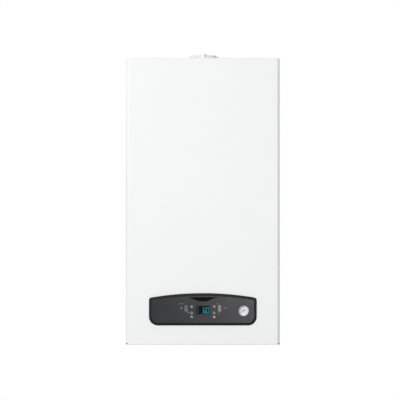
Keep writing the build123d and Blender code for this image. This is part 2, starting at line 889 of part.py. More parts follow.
def make_gauge():
    """The pressure gauge behind its round hole: case, dial, needle and lens."""
    bore = gauge_face_radius + 0.15
    shoulder = fascia_back + 5
    dial_front = shoulder - 0.8
    with BuildPart() as gauge_case:
        rod(facing(gauge_x, fascia_back + gauge_depth, gauge_level), bore + gauge_wall, gauge_depth)
        rod(facing(gauge_x, shoulder, gauge_level), bore, shoulder - fascia_back, Mode.SUBTRACT)
        rod(facing(gauge_x, fascia_back + gauge_depth - 2, gauge_level), bore - 1.4,
            gauge_depth - 7, Mode.SUBTRACT)
        rod(Plane(origin=(gauge_x, fascia_back + gauge_depth, base + gauge_level),
                  x_dir=(1, 0, 0), z_dir=(0, 1, 0)), 4, 10)
    save(gauge_case.part, "gauge_case")
    with BuildPart() as gauge_dial:
        rod(facing(gauge_x, shoulder, gauge_level), bore - 0.1, 0.8)
        rod(facing(gauge_x, shoulder, gauge_level), needle_spindle_radius + shaft_clearance, 0.8,
            Mode.SUBTRACT)
    save(gauge_dial.part, "gauge_dial")
    hub_back = dial_front - 0.4
    with BuildPart() as gauge_needle:
        rod(facing(gauge_x, hub_back, gauge_level), 1.8, 1.3)
        rod(facing(gauge_x, shoulder + 2, gauge_level), needle_spindle_radius, 3.2)
        with BuildSketch(facing(gauge_x, hub_back - 0.4, gauge_level)) as pointer:
            with BuildLine(Plane.XY.rotated((0, 0, needle_angle))):
                Polyline((0, 0.9), (needle_length, 0.25), (needle_length, -0.25), (0, -0.9),
                         (-2.5, -0.7), (-2.5, 0.7), close=True)
            make_face()
            with PolarLocations(3.6, 1, start_angle=needle_angle + 180):
                Circle(1.5)
        extrude(pointer.sketch, amount=0.4)
    save(gauge_needle.part, "gauge_needle")
    with BuildPart() as gauge_lens:
        rod(facing(gauge_x, fascia_back + 1.2, gauge_level), bore - 0.05, 1.2)
    save(gauge_lens.part, "gauge_lens")


# ---------------------------------------------------------------- flue

def make_flue_collar():
    """The collar on top: a flange, the air pipe's seat, a slotted cone and the flue socket."""
    top = bolt_line_drop
    with BuildPart() as flue_collar:
        with BuildSketch(Plane.XZ.offset(-flue_y)) as section:
            with BuildLine():
                Polyline(
                    (flue_bore_radius, top),
                    (collar_flange_radius, top),
                    (collar_flange_radius, top + collar_flange),
                    (air_pipe_radius, top + collar_flange),
                    (air_pipe_radius, top + collar_wall_top),
                    (collar_shoulder_radius, top + collar_shoulder),
                    (flue_rim_radius, top + collar_rim_top),
                    (flue_bore_radius, top + collar_rim_top),
                    close=True,
                )
            make_face()
            with BuildLine():
                Polyline(
                    (flue_rim_radius, top),
                    (air_pipe_radius - collar_sheet, top),
                    (air_pipe_radius - collar_sheet, top + collar_wall_top - 1),
                    (flue_rim_radius, top + collar_rim_top - collar_sheet - 1),
                    close=True,
                )
            make_face(mode=Mode.SUBTRACT)
        revolve(section.sketch, axis=Axis((0, flue_y, 0), (0, 0, 1)))
        # air slots through the cone, two to the front and two to the back
        slot_radius = (flue_rim_radius + collar_shoulder_radius) / 2
        with BuildSketch(Plane((0, flue_y, top + collar_flange + 1))) as slots:
            for angle in (-air_slot_angle, air_slot_angle, 180 - air_slot_angle, 180 + air_slot_angle):
                with PolarLocations(slot_radius, 1, start_angle=angle):
                    SlotOverall(air_slot_length, air_slot_width, rotation=90)
        extrude(slots.sketch, amount=collar_rim_top, mode=Mode.SUBTRACT)
        with Locations(Plane((0, flue_y, top))):
            with PolarLocations(collar_flange_radius - 6, 4, start_angle=45):
                Cylinder(2, 2 * collar_flange, mode=Mode.SUBTRACT)
        # sockets of the two test points
        for angle in (-88, 92):
            x = test_cap_setout * cos(radians(angle))
            y = flue_y + test_cap_setout * sin(radians(angle))
            rod(Plane((x, y, top)), test_cap_radius - 2.5, test_cap_seat)
    save(flue_collar.part, "flue_collar")
    with BuildPart() as test_point_caps:
        for angle in (-88, 92):
            x = test_cap_setout * cos(radians(angle))
            y = flue_y + test_cap_setout * sin(radians(angle))
            rod(Plane((x, y, top + test_cap_seat)), test_cap_radius, test_cap_top - test_cap_seat)
        fillet(test_point_caps.faces().group_by(Axis.Z)[-1].edges(), 1)
    save(test_point_caps.part, "test_point_caps")


def make_flue_duct():
    """The duct that carries the burnt gas from the exchanger up to the collar."""
    with BuildPart() as flue_duct:
        rod(upright(0, flue_y, spigot_top), flue_bore_radius + flue_wall,
            case_height - spigot_top)
        rod(upright(0, flue_y, spigot_top), flue_bore_radius + 2 * flue_wall, duct_collar)
        rod(upright(0, flue_y, spigot_top), duct_bore, case_height - spigot_top, Mode.SUBTRACT)
    save(flue_duct.part, "flue_duct")


# ---------------------------------------------------------------- heat exchanger and burner

def make_heat_exchanger():
    """The round shell, its finned coil, the burner and the door with its nuts."""
    depth = exchanger_rear - exchanger_front
    with BuildPart() as heat_exchanger_shell:
        rod(facing(0, exchanger_rear, exchanger_level), exchanger_radius, depth)
        rod(facing(0, exchanger_front + 4, exchanger_level), door_radius, 4)
        rod(upright(0, flue_y, exchanger_level), flue_bore_radius + 2 * flue_wall,
            spigot_top - exchanger_level)
        for side in (-1, 1):
            rod(upright(side * water_stub_x, water_stub_y, water_stub_low), water_pipe_radius,
                exchanger_level - water_stub_low)
        rod(upright(0, condensate_y, condensate_low), hose_bore,
            exchanger_level - exchanger_radius + exchanger_wall - condensate_low)
        rod(facing(0, exchanger_rear - exchanger_wall, exchanger_level),
            exchanger_radius - exchanger_wall, depth, Mode.SUBTRACT)
        rod(upright(0, flue_y, exchanger_level), duct_bore, exchanger_radius * 2, Mode.SUBTRACT)
        for side in (-1, 1):
            rod(upright(side * water_stub_x, water_stub_y, water_stub_low), water_pipe_bore,
                exchanger_level - water_stub_low, Mode.SUBTRACT)
        rod(upright(0, condensate_y, condensate_low), hose_bore - 1.5,
            exchanger_level - condensate_low, Mode.SUBTRACT)
    save(heat_exchanger_shell.part, "heat_exchanger_shell")

    coil_rear = exchanger_rear - exchanger_wall
    coil_front = exchanger_front + 7
    pitch = (coil_rear - coil_front) / coil_turns
    with BuildPart() as heat_exchanger_coil:
        for turn in range(coil_turns):
            rod(facing(0, coil_rear - turn * pitch, exchanger_level), coil_outer_radius, coil_fin)
        rod(facing(0, coil_rear, exchanger_level), coil_inner_radius, coil_rear - coil_front,
            Mode.SUBTRACT)
        with BuildSketch(facing(0, coil_rear, exchanger_level)) as core:
            Circle(coil_core_radius + coil_core_wall / 2)
            Circle(coil_core_radius - coil_core_wall / 2, mode=Mode.SUBTRACT)
        extrude(core.sketch, amount=coil_rear - coil_front)
    save(heat_exchanger_coil.part, "heat_exchanger_coil")

    with BuildPart() as burner:
        rod(facing(0, exchanger_front + 3, exchanger_level), burner_radius + 9, 3)
        rod(facing(0, exchanger_front + burner_length, exchanger_level), burner_radius,
            burner_length)
        rod(facing(0, exchanger_front + burner_length - 2, exchanger_level), burner_radius - 2,
            burner_length, Mode.SUBTRACT)
    save(burner.part, "burner")

    with BuildPart() as burner_door:
        rod(facing(0, exchanger_front, exchanger_level), door_radius, door_thickness)
        fillet(burner_door.faces().sort_by(Axis.Y)[0].edges(), door_edge_radius)
        rod(facing(0, door_front, exchanger_level), door_boss_radius, door_boss)
        for angle in (45, 135, 225, 315):
            across = door_boss_radius + door_rib_circle
            with BuildSketch(facing(0, door_front, exchanger_level)) as rib:
                with PolarLocations(across, 1, start_angle=angle):
                    Rectangle(*door_rib)
            extrude(rib.sketch, amount=door_rib_height)
        rod(facing(0, exchanger_front, exchanger_level), burner_radius - 2,
            door_thickness + door_boss, Mode.SUBTRACT)
        rod(facing(electrode_x, exchanger_front, electrode_level),
            ceramic_radius + electrode_clearance, door_thickness + door_boss, Mode.SUBTRACT)
        block((electrode_x - spark_seat, electrode_x + spark_seat),
              (door_front - spark_seat_depth, door_front),
              (electrode_level - spark_seat, electrode_level + spark_seat), Mode.SUBTRACT)
    save(burner_door.part, "burner_door")

    with BuildPart() as door_nuts:
        for turn in range(nut_count):
            angle = radians(360 / nut_count * turn)
            x = nut_circle_radius * cos(angle)
            height = exchanger_level + nut_circle_radius * sin(angle)
            hexagon(facing(x, door_front, height), door_nut, door_nut_thickness)
            rod(facing(x, door_front - door_nut_thickness, height), door_stud_radius, door_stud)
    save(door_nuts.part, "door_nuts")


def make_ignition():
    """The spark electrode in the door, its transformer on the side panel and the lead."""
    ceramic_rear = exchanger_front + 2
    boot_rear = door_front - electrode_back + boot_overlap
    lead_y = boot_rear - boot_length + boot_radius
    with BuildPart() as ignition_electrode:
        rod(facing(electrode_x, ceramic_rear, electrode_level), ceramic_radius,
            ceramic_rear - door_front + electrode_back)
        rod(facing(electrode_x, door_front, electrode_level), electrode_flange, 3)
        rod(facing(electrode_x, ceramic_rear + electrode_reach, electrode_level), electrode_wire,
            electrode_reach)
    save(ignition_electrode.part, "ignition_electrode")

    box_left = inner_half - transformer_width
    box_low = case_height - transformer_drop
    box_front = transformer_y - transformer_depth / 2
    terminal = box_left + terminal_x
    with BuildPart() as ignition_transformer:
        block((box_left, inner_half), (box_front, box_front + transformer_depth),
              (box_low, box_low + transformer_height))
        fillet(ignition_transformer.edges().filter_by(Axis.X), 4)
        rod(Plane(origin=(terminal, transformer_y, base + box_low), x_dir=(1, 0, 0),
                  z_dir=(0, 0, -1)), terminal_radius, terminal_length)
    save(ignition_transformer.part, "ignition_transformer")

    with BuildPart() as ignition_lead:
        rod(facing(electrode_x, boot_rear, electrode_level), boot_radius, boot_length)
        fillet(ignition_lead.faces().sort_by(Axis.Y)[0].edges(), 2)
        rod(facing(electrode_x, boot_rear, electrode_level),
            ceramic_radius + electrode_clearance, boot_overlap, Mode.SUBTRACT)
        tube(
            [
                (electrode_x + boot_radius - 2, lead_y, electrode_level),
                (electrode_x + lead_run, lead_y, electrode_level),
                (terminal, transformer_y, electrode_level + lead_rise),
                (terminal, transformer_y, box_low - terminal_length),
            ],
            18, lead_radius, lead_bore,
        )
    save(ignition_lead.part, "ignition_lead")


# ---------------------------------------------------------------- fan, air and gas

def make_manifold():
    """The hollow casting that leads the fan's mixture down to the door."""
    inner = manifold_half_width - manifold_wall
    back = manifold_rear
    with BuildPart() as mixer_manifold:
        rod(facing(0, back, exchanger_level), door_boss_radius - manifold_inset, manifold_depth)
        block((-manifold_half_width, manifold_half_width), (back - manifold_depth, back),
              (exchanger_level, manifold_top))
        fillet(mixer_manifold.faces().sort_by(Axis.Y)[0].edges(), manifold_floor)
        lip = manifold_half_width + manifold_lip
        block((-lip, lip), (back - manifold_depth + manifold_inset, fan_rear),
              (manifold_top - manifold_lip_height, manifold_top))
        rod(facing(0, back, exchanger_level),
            door_boss_radius - manifold_inset - 2 * manifold_wall,
            manifold_depth - manifold_floor, Mode.SUBTRACT)
        block((-inner, inner),
              (back - manifold_depth + manifold_floor, fan_rear - manifold_wall),
              (exchanger_level, manifold_top), Mode.SUBTRACT)
    save(mixer_manifold.part, "mixer_manifold")


def make_fan():
    """The fan: a hollow scroll, its motor in front, the impeller and the venturi behind."""
    inner = manifold_half_width - manifold_wall
    with BuildPart() as fan_housing:
        rod(facing(fan_x, fan_rear, fan_level), fan_radius, fan_depth)
        block((-manifold_half_width, fan_x + fan_radius), (fan_front, fan_rear),
              (manifold_top, fan_level))
        fillet(fan_housing.faces().sort_by(Axis.Y)[0].edges(), 4)
        lip = manifold_half_width + manifold_lip
        block((-lip, lip), (fan_front + 7, fan_rear),
              (manifold_top, manifold_top + manifold_lip_height))
        rod(facing(fan_x, fan_rear - fan_wall, fan_level), fan_radius - fan_wall - 1,
            fan_depth - 2 * fan_wall, Mode.SUBTRACT)
        block((-inner, fan_x + fan_radius - 4), (fan_front + 4 + fan_wall, fan_rear - fan_wall),
              (manifold_top, fan_level), Mode.SUBTRACT)
        rod(facing(fan_x, fan_rear, fan_level), venturi_bore, fan_wall, Mode.SUBTRACT)
        rod(facing(fan_x, fan_front + fan_wall, fan_level), shaft_radius + shaft_clearance,
            fan_wall, Mode.SUBTRACT)
    save(fan_housing.part, "fan_housing")

    with BuildPart() as fan_motor:
        rod(facing(fan_x, fan_front, fan_level), fan_motor_radius, fan_motor_depth)
        fillet(fan_motor.faces().sort_by(Axis.Y)[0].edges(), 6)
        block((fan_x - fan_plug_half_width, fan_x + fan_plug_half_width),
              (fan_front - fan_plug_depth, fan_front),
              (fan_level - fan_motor_radius - 9, fan_level - fan_motor_radius + 10))
        rod(facing(fan_x, fan_front, fan_level), shaft_radius + shaft_clearance, motor_bore,
            Mode.SUBTRACT)
    save(fan_motor.part, "fan_motor")

    wheel_back = fan_rear - fan_wall - fan_play
    wheel_depth = fan_depth - 2 * (fan_wall + fan_play)
    with BuildPart() as fan_impeller:
        rod(facing(fan_x, wheel_back - wheel_depth + 2, fan_level), impeller_radius, 2)
        rod(facing(fan_x, wheel_back, fan_level), fan_hub_radius, wheel_depth)
        rod(facing(fan_x, wheel_back - wheel_depth, fan_level), shaft_radius,
            wheel_back - wheel_depth - fan_front + motor_bore - 3)
        for blade in range(fan_blades):
            turn = 360 / fan_blades * blade
            angle = radians(turn)
            with BuildSketch(facing(fan_x, wheel_back, fan_level)) as vane:
                with Locations((fan_blade_circle * cos(angle), fan_blade_circle * sin(angle))):
                    Rectangle(*fan_blade, rotation=turn + 25)
            extrude(vane.sketch, amount=wheel_depth)
    save(fan_impeller.part, "fan_impeller")

    with BuildPart() as venturi:
        rod(facing(fan_x, fan_rear + venturi_length, fan_level), venturi_radius, venturi_length)
        rod(facing(fan_x, fan_rear + 4, fan_level), venturi_radius + venturi_flange, 4)
        rod(facing(fan_x, fan_rear + venturi_length, fan_level), venturi_bore, venturi_length,
            Mode.SUBTRACT)
    save(venturi.part, "venturi")

    wall = silencer_wall
    with BuildPart() as intake_silencer:
        block((silencer_left, silencer_right), (silencer_front, silencer_front + silencer_depth),
              (silencer_low, silencer_high))
        fillet(intake_silencer.edges().filter_by(Axis.Y), 14)
        fillet(intake_silencer.faces().sort_by(Axis.Y)[0].edges(), 5)
        block((silencer_left + wall, silencer_right - wall),
              (silencer_front + wall, silencer_front + silencer_depth - wall),
              (silencer_low + 15, silencer_high - 15), Mode.SUBTRACT)
        rod(facing(fan_x, silencer_front + wall, fan_level), venturi_bore, wall, Mode.SUBTRACT)
        block((silencer_left + silencer_slot[0], silencer_left + silencer_slot[1]),
              (silencer_front + 8, silencer_front + silencer_depth - 8),
              (silencer_low, silencer_low + 15), Mode.SUBTRACT)
    save(intake_silencer.part, "intake_silencer")


def make_gas_train():
    """The gas valve, the pipe up from the gas tail and the pipe on to the venturi."""
    valve_level = (valve_low + valve_high) / 2
    with BuildPart() as gas_valve:
        block((-valve_half_width, valve_half_width), (valve_front, valve_rear),
              (valve_low + 14, valve_high))
        fillet(gas_valve.edges().filter_by(Axis.Y), 6)
        fillet(gas_valve.faces().sort_by(Axis.Y)[0].edges(), 3)
        rod(upright(0, gas_y, valve_low), 17, 20)
        for x in (-20, 20):
            rod(facing(x, valve_front, valve_level + 20), 16, valve_coil_length)
        rod(facing(0, valve_front, valve_low + 34), 11, 12)
        block((-34, 34), (valve_front - valve_coil_length + 4, valve_front),
              (valve_high - 14, valve_high - 2))
        rod(upright(0, gas_y, valve_low), gas_pipe_bore, 60, Mode.SUBTRACT)
    save(gas_valve.part, "gas_valve")

    run_height = floor_top + 14
    with BuildPart() as gas_pipes:
        tube(
            [
                (0, tail_y, tail_low),
                (0, tail_y, run_height),
                (0, gas_y, run_height),
                (0, gas_y, valve_low),
            ],
            13, gas_pipe_radius, gas_pipe_bore,
        )
        with BuildSketch(upright(0, tail_y, tail_low)) as sleeve:
            Circle(big_tail_radius)
            Circle(gas_pipe_radius - 0.5, mode=Mode.SUBTRACT)
        extrude(sleeve.sketch, amount=floor_height - tail_low - 2)
        with BuildSketch(upright(0, gas_y, valve_low - 16)) as union_nut:
            RegularPolygon(15, 6, major_radius=False)
            Circle(gas_pipe_radius - 0.5, mode=Mode.SUBTRACT)
        extrude(union_nut.sketch, amount=16)
        tube(
            [
                (-valve_half_width, gas_y, valve_level + 20),
                (gas_feed_x, gas_y, valve_level + 20),
                (gas_feed_x, gas_y, fan_level),
                (fan_x - venturi_radius + 1, gas_y, fan_level),
            ],
            28, gas_feed_radius, gas_feed_radius - 1,
        )
        with BuildSketch(sideways(-valve_half_width - 14, gas_y, valve_level + 20)) as feed_nut:
            RegularPolygon(12, 6, major_radius=False)
            Circle(gas_feed_radius - 0.5, mode=Mode.SUBTRACT)
        extrude(feed_nut.sketch, amount=14)
        rod(Plane(origin=(fan_x, fan_rear, base + fan_level), x_dir=(1, 0, 0), z_dir=(0, 1, 0)),
            venturi_radius, venturi_length, Mode.SUBTRACT)
    save(gas_pipes.part, "gas_pipes")


# ---------------------------------------------------------------- water side

def make_expansion_vessel():
    """The flat pressed vessel behind the exchanger, with its seam half way."""
    seam = vessel_depth / 2
    with BuildPart() as expansion_vessel:
        with BuildSketch(facing(0, frame_front, exchanger_level)):
            RectangleRounded(vessel_width, vessel_height, vessel_corner)
        extrude(amount=vessel_depth)
        fillet(expansion_vessel.faces().sort_by(Axis.Y)[0].edges(), vessel_round)
        fillet(expansion_vessel.faces().sort_by(Axis.Y)[-1].edges(), vessel_round)
        offset(amount=-vessel_wall, mode=Mode.SUBTRACT)
        reach = 2 * vessel_seam_reach
        with BuildSketch(facing(0, frame_front - seam + vessel_seam / 2, exchanger_level)):
            RectangleRounded(vessel_width + reach, vessel_height + reach,
                             vessel_corner + vessel_seam_reach)
            RectangleRounded(vessel_width - vessel_wall, vessel_height - vessel_wall,
                             vessel_corner, mode=Mode.SUBTRACT)
        extrude(amount=vessel_seam)
        nozzle = upright(tower_x, frame_front - seam, vessel_low - vessel_nozzle)
        rod(nozzle, vessel_pipe_radius + 3, vessel_nozzle + 2 * vessel_wall)
        rod(nozzle, vessel_pipe_radius - 1, vessel_nozzle + 4 * vessel_wall, Mode.SUBTRACT)
    save(expansion_vessel.part, "expansion_vessel")


def tail(x, radius):
    """One threaded pipe tail below the bottom plate, with its bore."""
    rod(upright(x, tail_y, tail_low), radius, floor_top - tail_low)
    rod(upright(x, tail_y, tail_low), radius - tail_wall, floor_top - tail_low - 3, Mode.SUBTRACT)


def tail_stop(x, radius, low):
    """The ring on a tail that a nut runs up to, from a given height to just below the plate."""
    with BuildSketch(upright(x, tail_y, low)) as ring:
        Circle(radius + tail_collar)
        Circle(radius - 1, mode=Mode.SUBTRACT)
    extrude(ring.sketch, amount=floor_height - low - tail_collar)


def make_water_blocks():
    """The flow block on the left and the return block on the right, with the pump's volute."""
    cavity_end = pump_front + valve_cavity_depth
    with BuildPart() as flow_block:
        rod(upright(-tower_x, tail_y, floor_top), tower_radius, tower_top - floor_top)
        block((-tower_x, -arm_inner_x), (tail_y - arm_half_depth, tail_y + arm_half_depth),
              (floor_top, arm_top))
        block((-tower_x - valve_half, -tower_x + valve_half), (pump_front, tail_y),
              (pump_level - valve_half, pump_level + valve_half))
        fillet(flow_block.edges().filter_by(Axis.Z).group_by(Axis.X)[-1], block_corner)
        for x, radius in ((-tower_x, big_tail_radius), (-tail_spacing, small_tail_radius)):
            tail(x, radius)
            tail_stop(x, radius, floor_height - 2 * tail_collar)
        rod(facing(-tower_x, cavity_end, pump_level), valve_cavity_radius, valve_cavity_depth,
            Mode.SUBTRACT)
    save(flow_block.part, "flow_block")

    with BuildPart() as return_block:
        rod(upright(tower_x, tail_y, floor_top), tower_radius, tower_top - floor_top)
        block((arm_inner_x, tower_x), (tail_y - arm_half_depth, tail_y + arm_half_depth),
              (floor_top, arm_top))
        rod(facing(tower_x, pump_front + volute_depth, pump_level), volute_radius, volute_depth)
        fillet(return_block.edges().filter_by(Axis.Z).group_by(Axis.X)[0], block_corner)
        for x, radius in ((tower_x, big_tail_radius), (tail_spacing, small_tail_radius)):
            tail(x, radius)
            tail_stop(x, radius, tail_low + tail_thread)
        rod(facing(tower_x, pump_front + volute_depth - 10, pump_level), pump_impeller_radius + 4,
            volute_depth - 10, Mode.SUBTRACT)
        # the filling valve between the two tails
        rod(sideways(tail_spacing + small_tail_radius - 1, tail_y, tap_level), tap_link_radius,
            tail_spacing - small_tail_radius - big_tail_radius + 2)
        rod(facing(tap_x, tail_y, tap_level), tap_body_radius, tap_depth)
        rod(facing(tap_x, tail_y, tap_level), shaft_radius + shaft_clearance, tap_depth,
            Mode.SUBTRACT)
    save(return_block.part, "return_block")

    with BuildPart() as fill_tap:
        knob_rear = tail_y - tap_depth - pin_clearance
        rod(facing(tap_x, knob_rear, tap_level), tap_radius, tap_depth)
        rod(facing(tap_x, tail_y - 2, tap_level), shaft_radius, tail_y - 2 - knob_rear)
        for turn in range(8):
            angle = radians(45 * turn)
            rod(facing(tap_x + (tap_radius + 1) * cos(angle), knob_rear,
                       tap_level + (tap_radius + 1) * sin(angle)), 2, tap_depth, Mode.SUBTRACT)
    save(fill_tap.part, "fill_tap")


def make_pump():
    """The pump motor on the volute's face and its impeller inside."""
    with BuildPart() as pump_motor:
        rod(facing(tower_x, pump_front, pump_level), volute_radius, 6)
        rod(facing(tower_x, pump_front, pump_level), pump_motor_radius - 4, pump_motor_depth)
        for fin in range(pump_fins):
            rod(facing(tower_x, pump_front - pump_fin_pitch * (fin + 1), pump_level),
                pump_motor_radius, pump_fin)
        fillet(pump_motor.faces().sort_by(Axis.Y)[0].edges(), 5)
        block((tower_x - pump_box_half_width, tower_x + pump_box_half_width),
              (pump_front - 6 - pump_box_depth, pump_front - 6),
              (pump_level + pump_box_low, pump_level + pump_box_high))
        rod(facing(tower_x, pump_front, pump_level), shaft_radius + 1 + shaft_clearance, 20,
            Mode.SUBTRACT)
    save(pump_motor.part, "pump_motor")

    with BuildPart() as pump_impeller:
        wheel = facing(tower_x, pump_front + pump_wheel_setback, pump_level)
        rod(wheel, pump_impeller_radius, 3)
        rod(wheel, pump_hub_radius, pump_wheel_depth + 2)
        rod(wheel, shaft_radius + 1, pump_shaft)
        for blade in range(6):
            angle = radians(60 * blade)
            with BuildSketch(wheel) as vane:
                with Locations((pump_blade_circle * cos(angle), pump_blade_circle * sin(angle))):
                    Rectangle(*pump_blade, rotation=60 * blade + 20)
            extrude(vane.sketch, amount=pump_wheel_depth)
    save(pump_impeller.part, "pump_impeller")


def make_plate_exchanger():
    """The brazed plate heat exchanger that lies across both blocks."""
    depth = plate_rear - plate_front
    pitch = (depth - 4) / (plate_count - 1)
    with BuildPart() as plate_exchanger:
        block((-plate_half_width + 3, plate_half_width - 3), (plate_front, plate_rear),
              (arm_top + 3, arm_top + plate_height - 3))
        for layer in range(plate_count):
            y = plate_front + layer * pitch
            block((-plate_half_width, plate_half_width), (y, y + 4),
                  (arm_top, arm_top + plate_height))
        fillet(plate_exchanger.edges().filter_by(Axis.Y).filter_by(
            lambda edge: abs(edge.center().X) > plate_half_width - 1), 8)
        wall = 7
        block((wall - plate_half_width, plate_half_width - wall),
              (plate_front + wall, plate_rear - wall),
              (arm_top + wall, arm_top + plate_height - wall), Mode.SUBTRACT)
        for x in (-plate_port_x, plate_port_x):
            rod(upright(x, (plate_front + plate_rear) / 2, arm_top), plate_port_radius, wall,
                Mode.SUBTRACT)
    save(plate_exchanger.part, "plate_exchanger")


def make_diverter():
    """The diverter valve's actuator and the spindle that it pushes."""
    half = actuator_width / 2
    with BuildPart() as diverter_actuator:
        block((-tower_x - half, -tower_x + half), (pump_front - actuator_depth, pump_front),
              (pump_level - half, pump_level + half))
        fillet(diverter_actuator.edges().filter_by(Axis.Y), 6)
        fillet(diverter_actuator.faces().sort_by(Axis.Y)[0].edges(), 4)
        block((-tower_x - 9, -tower_x + 9), (pump_front - 30, pump_front - 12),
              (pump_level - half - 12, pump_level - half + 4))
        rod(facing(-tower_x, pump_front, pump_level), spindle_radius + shaft_clearance, 30,
            Mode.SUBTRACT)
    save(diverter_actuator.part, "diverter_actuator")
    with BuildPart() as diverter_spindle:
        rod(facing(-tower_x, pump_front + 25, pump_level), spindle_radius, 45)
        rod(facing(-tower_x, pump_front + 25, pump_level), valve_cavity_radius - 3, 6)
    save(diverter_spindle.part, "diverter_spindle")


def make_relief_valve():
    """The pressure relief valve on the flow block, with its red turning knob."""
    body_top = tower_top + relief_body_height
    with BuildPart() as relief_valve:
        rod(upright(-tower_x, relief_y, tower_top), relief_body_radius, relief_body_height)
        hexagon(sideways(-tower_x - relief_body_radius - relief_outlet, relief_y,
                         tower_top + relief_outlet_rise),
                relief_outlet_hexagon, relief_outlet + 4)
        rod(upright(-tower_x, relief_y, body_top), spindle_radius + 1, knob_height - 6)
    save(relief_valve.part, "relief_valve")
    with BuildPart() as relief_knob:
        rod(upright(-tower_x, relief_y, body_top + pin_clearance), knob_radius, knob_height)
        fillet(relief_knob.faces().sort_by(Axis.Z)[-1].edges(), 2.5)
        for turn in range(10):
            angle = radians(36 * turn)
            rod(upright(-tower_x + (knob_radius + 2) * cos(angle),
                        relief_y + (knob_radius + 2) * sin(angle), body_top), 3.5,
                knob_height + 2, Mode.SUBTRACT)
        rod(upright(-tower_x, relief_y, body_top), spindle_radius + 1 + shaft_clearance,
            knob_height - 5, Mode.SUBTRACT)
    save(relief_knob.part, "relief_knob")


def make_water_pipes():
    """The copper pipes between the exchanger, the blocks, the vessel and the relief valve."""
    vessel_y = frame_front - vessel_depth / 2
    with BuildPart() as water_pipes:
        for side in (-1, 1):
            tube(
                [
                    (side * water_stub_x, water_stub_y, water_stub_low),
                    (side * water_stub_x, water_stub_y, water_stub_low - pipe_first_drop),
                    (side * tower_x, water_stub_y, water_stub_low - pipe_second_drop),
                    (side * tower_x, water_stub_y, tower_top),
                ],
                pipe_bend, water_pipe_radius, water_pipe_bore,
            )
            for level in (water_stub_low - nut_height, tower_top):
                x = side * (water_stub_x if level > tower_top else tower_x)
                with BuildSketch(upright(x, water_stub_y, level)) as nut:
                    RegularPolygon(pipe_nut / 2, 6, major_radius=False)
                    Circle(water_pipe_radius - 0.5, mode=Mode.SUBTRACT)
                extrude(nut.sketch, amount=nut_height)
        tube(
            [
                (tower_x, vessel_y, vessel_low - vessel_nozzle),
                (tower_x, vessel_y, pump_level),
                (tower_x, tail_y + tower_radius, pump_level),
            ],
            16, vessel_pipe_radius, vessel_pipe_radius - 1,
        )
        tube(
            [
                (-tower_x - relief_body_radius - relief_outlet, relief_y,
                 tower_top + relief_outlet_rise),
                (relief_pipe_x, relief_y, tower_top + relief_outlet_rise),
                (relief_pipe_x, relief_y, tail_low),
            ],
            14, relief_pipe_radius, relief_pipe_radius - 1,
        )
    save(water_pipes.part, "water_pipes")


def make_condensate_drain():
    """The condensate trap standing on the bottom plate and the hose down to it."""
    with BuildPart() as condensate_trap:
        rod(upright(drain_x, drain_y, trap_low), trap_radius,
            trap_top - trap_neck - trap_low)
        rod(upright(drain_x, drain_y, floor_top), drain_radius + 5, trap_low - floor_top)
        rod(upright(drain_x, drain_y, tail_low), drain_radius, floor_top - tail_low)
        rod(upright(drain_x, drain_y, trap_top - trap_neck), hose_bore, trap_neck)
        fillet(condensate_trap.edges().filter_by(GeomType.CIRCLE).sort_by(Axis.Z)[-3:-2], 3)
        rod(upright(drain_x, drain_y, tail_low), drain_radius - 3, floor_top - tail_low - 2,
            Mode.SUBTRACT)
    save(condensate_trap.part, "condensate_trap")
    with BuildPart() as condensate_hose:
        tube(
            [
                (0, condensate_y, condensate_low + hose_overlap),
                (0, condensate_y, condensate_low - hose_first_drop),
                (drain_x, condensate_y - hose_setback, condensate_low - hose_second_drop),
                (drain_x, condensate_y - hose_setback, trap_top + hose_rise + hose_slope),
                (drain_x, drain_y, trap_top + hose_rise),
                (drain_x, drain_y, trap_top + 2 - trap_neck),
            ],
            hose_bend, hose_radius, hose_bore + shaft_clearance,
        )
    save(condensate_hose.part, "condensate_hose")


def make_cable_gland():
    """The strain relief that a supply cable would come in through."""
    with BuildPart() as cable_gland:
        head_low = floor_height - gland_head
        cap_low = head_low - gland_cap
        hexagon(upright(gland_x, gland_y, floor_top), gland_hexagon, gland_nut)
        rod(upright(gland_x, gland_y, floor_height), gland_hole_radius, steel)
        hexagon(upright(gland_x, gland_y, head_low), gland_hexagon, gland_head)
        rod(upright(gland_x, gland_y, cap_low), gland_cap_radius, gland_cap)
        rod(upright(gland_x, gland_y, cap_low), gland_bore_radius,
            floor_top + gland_nut - cap_low, Mode.SUBTRACT)
    save(cable_gland.part, "cable_gland")


# ---------------------------------------------------------------- the whole boiler

buttons = {
    "on_off_button": (on_off_x, button_level, (2 * on_off_radius, 2 * on_off_radius)),
    "mode_button": (mode_button_x, rocker_level, mode_button_size),
    "water_plus_button": (water_button_x, plus_level, (2 * button_radius, 2 * button_radius)),
    "water_minus_button": (water_button_x, minus_level, (2 * button_radius, 2 * button_radius)),
    "heating_plus_button": (heating_button_x, plus_level, (2 * button_radius, 2 * button_radius)),
    "heating_minus_button": (heating_button_x, minus_level, (2 * button_radius, 2 * button_radius)),
    "reset_button": (reset_button_x, rocker_level, reset_button_size),
}

os.makedirs("parts", exist_ok=True)

make_wall_bracket()
make_back_frame()
make_side_panel(-1, "left_side_panel")
make_side_panel(1, "right_side_panel")
make_top_panel()
make_bottom_plate()
make_front_casing()
make_casing_gasket()
make_casing_fasteners()
make_control_fascia()
make_control_box()
make_control_board()
make_display()
make_badge()
make_gauge()
for button_name, (button_x, button_height, button_size) in buttons.items():
    make_button(button_x, button_height, button_size, button_name)
make_flue_collar()
make_flue_duct()
make_heat_exchanger()
make_ignition()
make_manifold()
make_fan()
make_gas_train()
make_expansion_vessel()
make_water_blocks()
make_pump()
make_plate_exchanger()
make_diverter()
make_relief_valve()
make_water_pipes()
make_condensate_drain()
make_cable_gland()
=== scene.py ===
from math import cos, pi, radians, sin

import bmesh
import bpy
from mathutils import Matrix, Vector


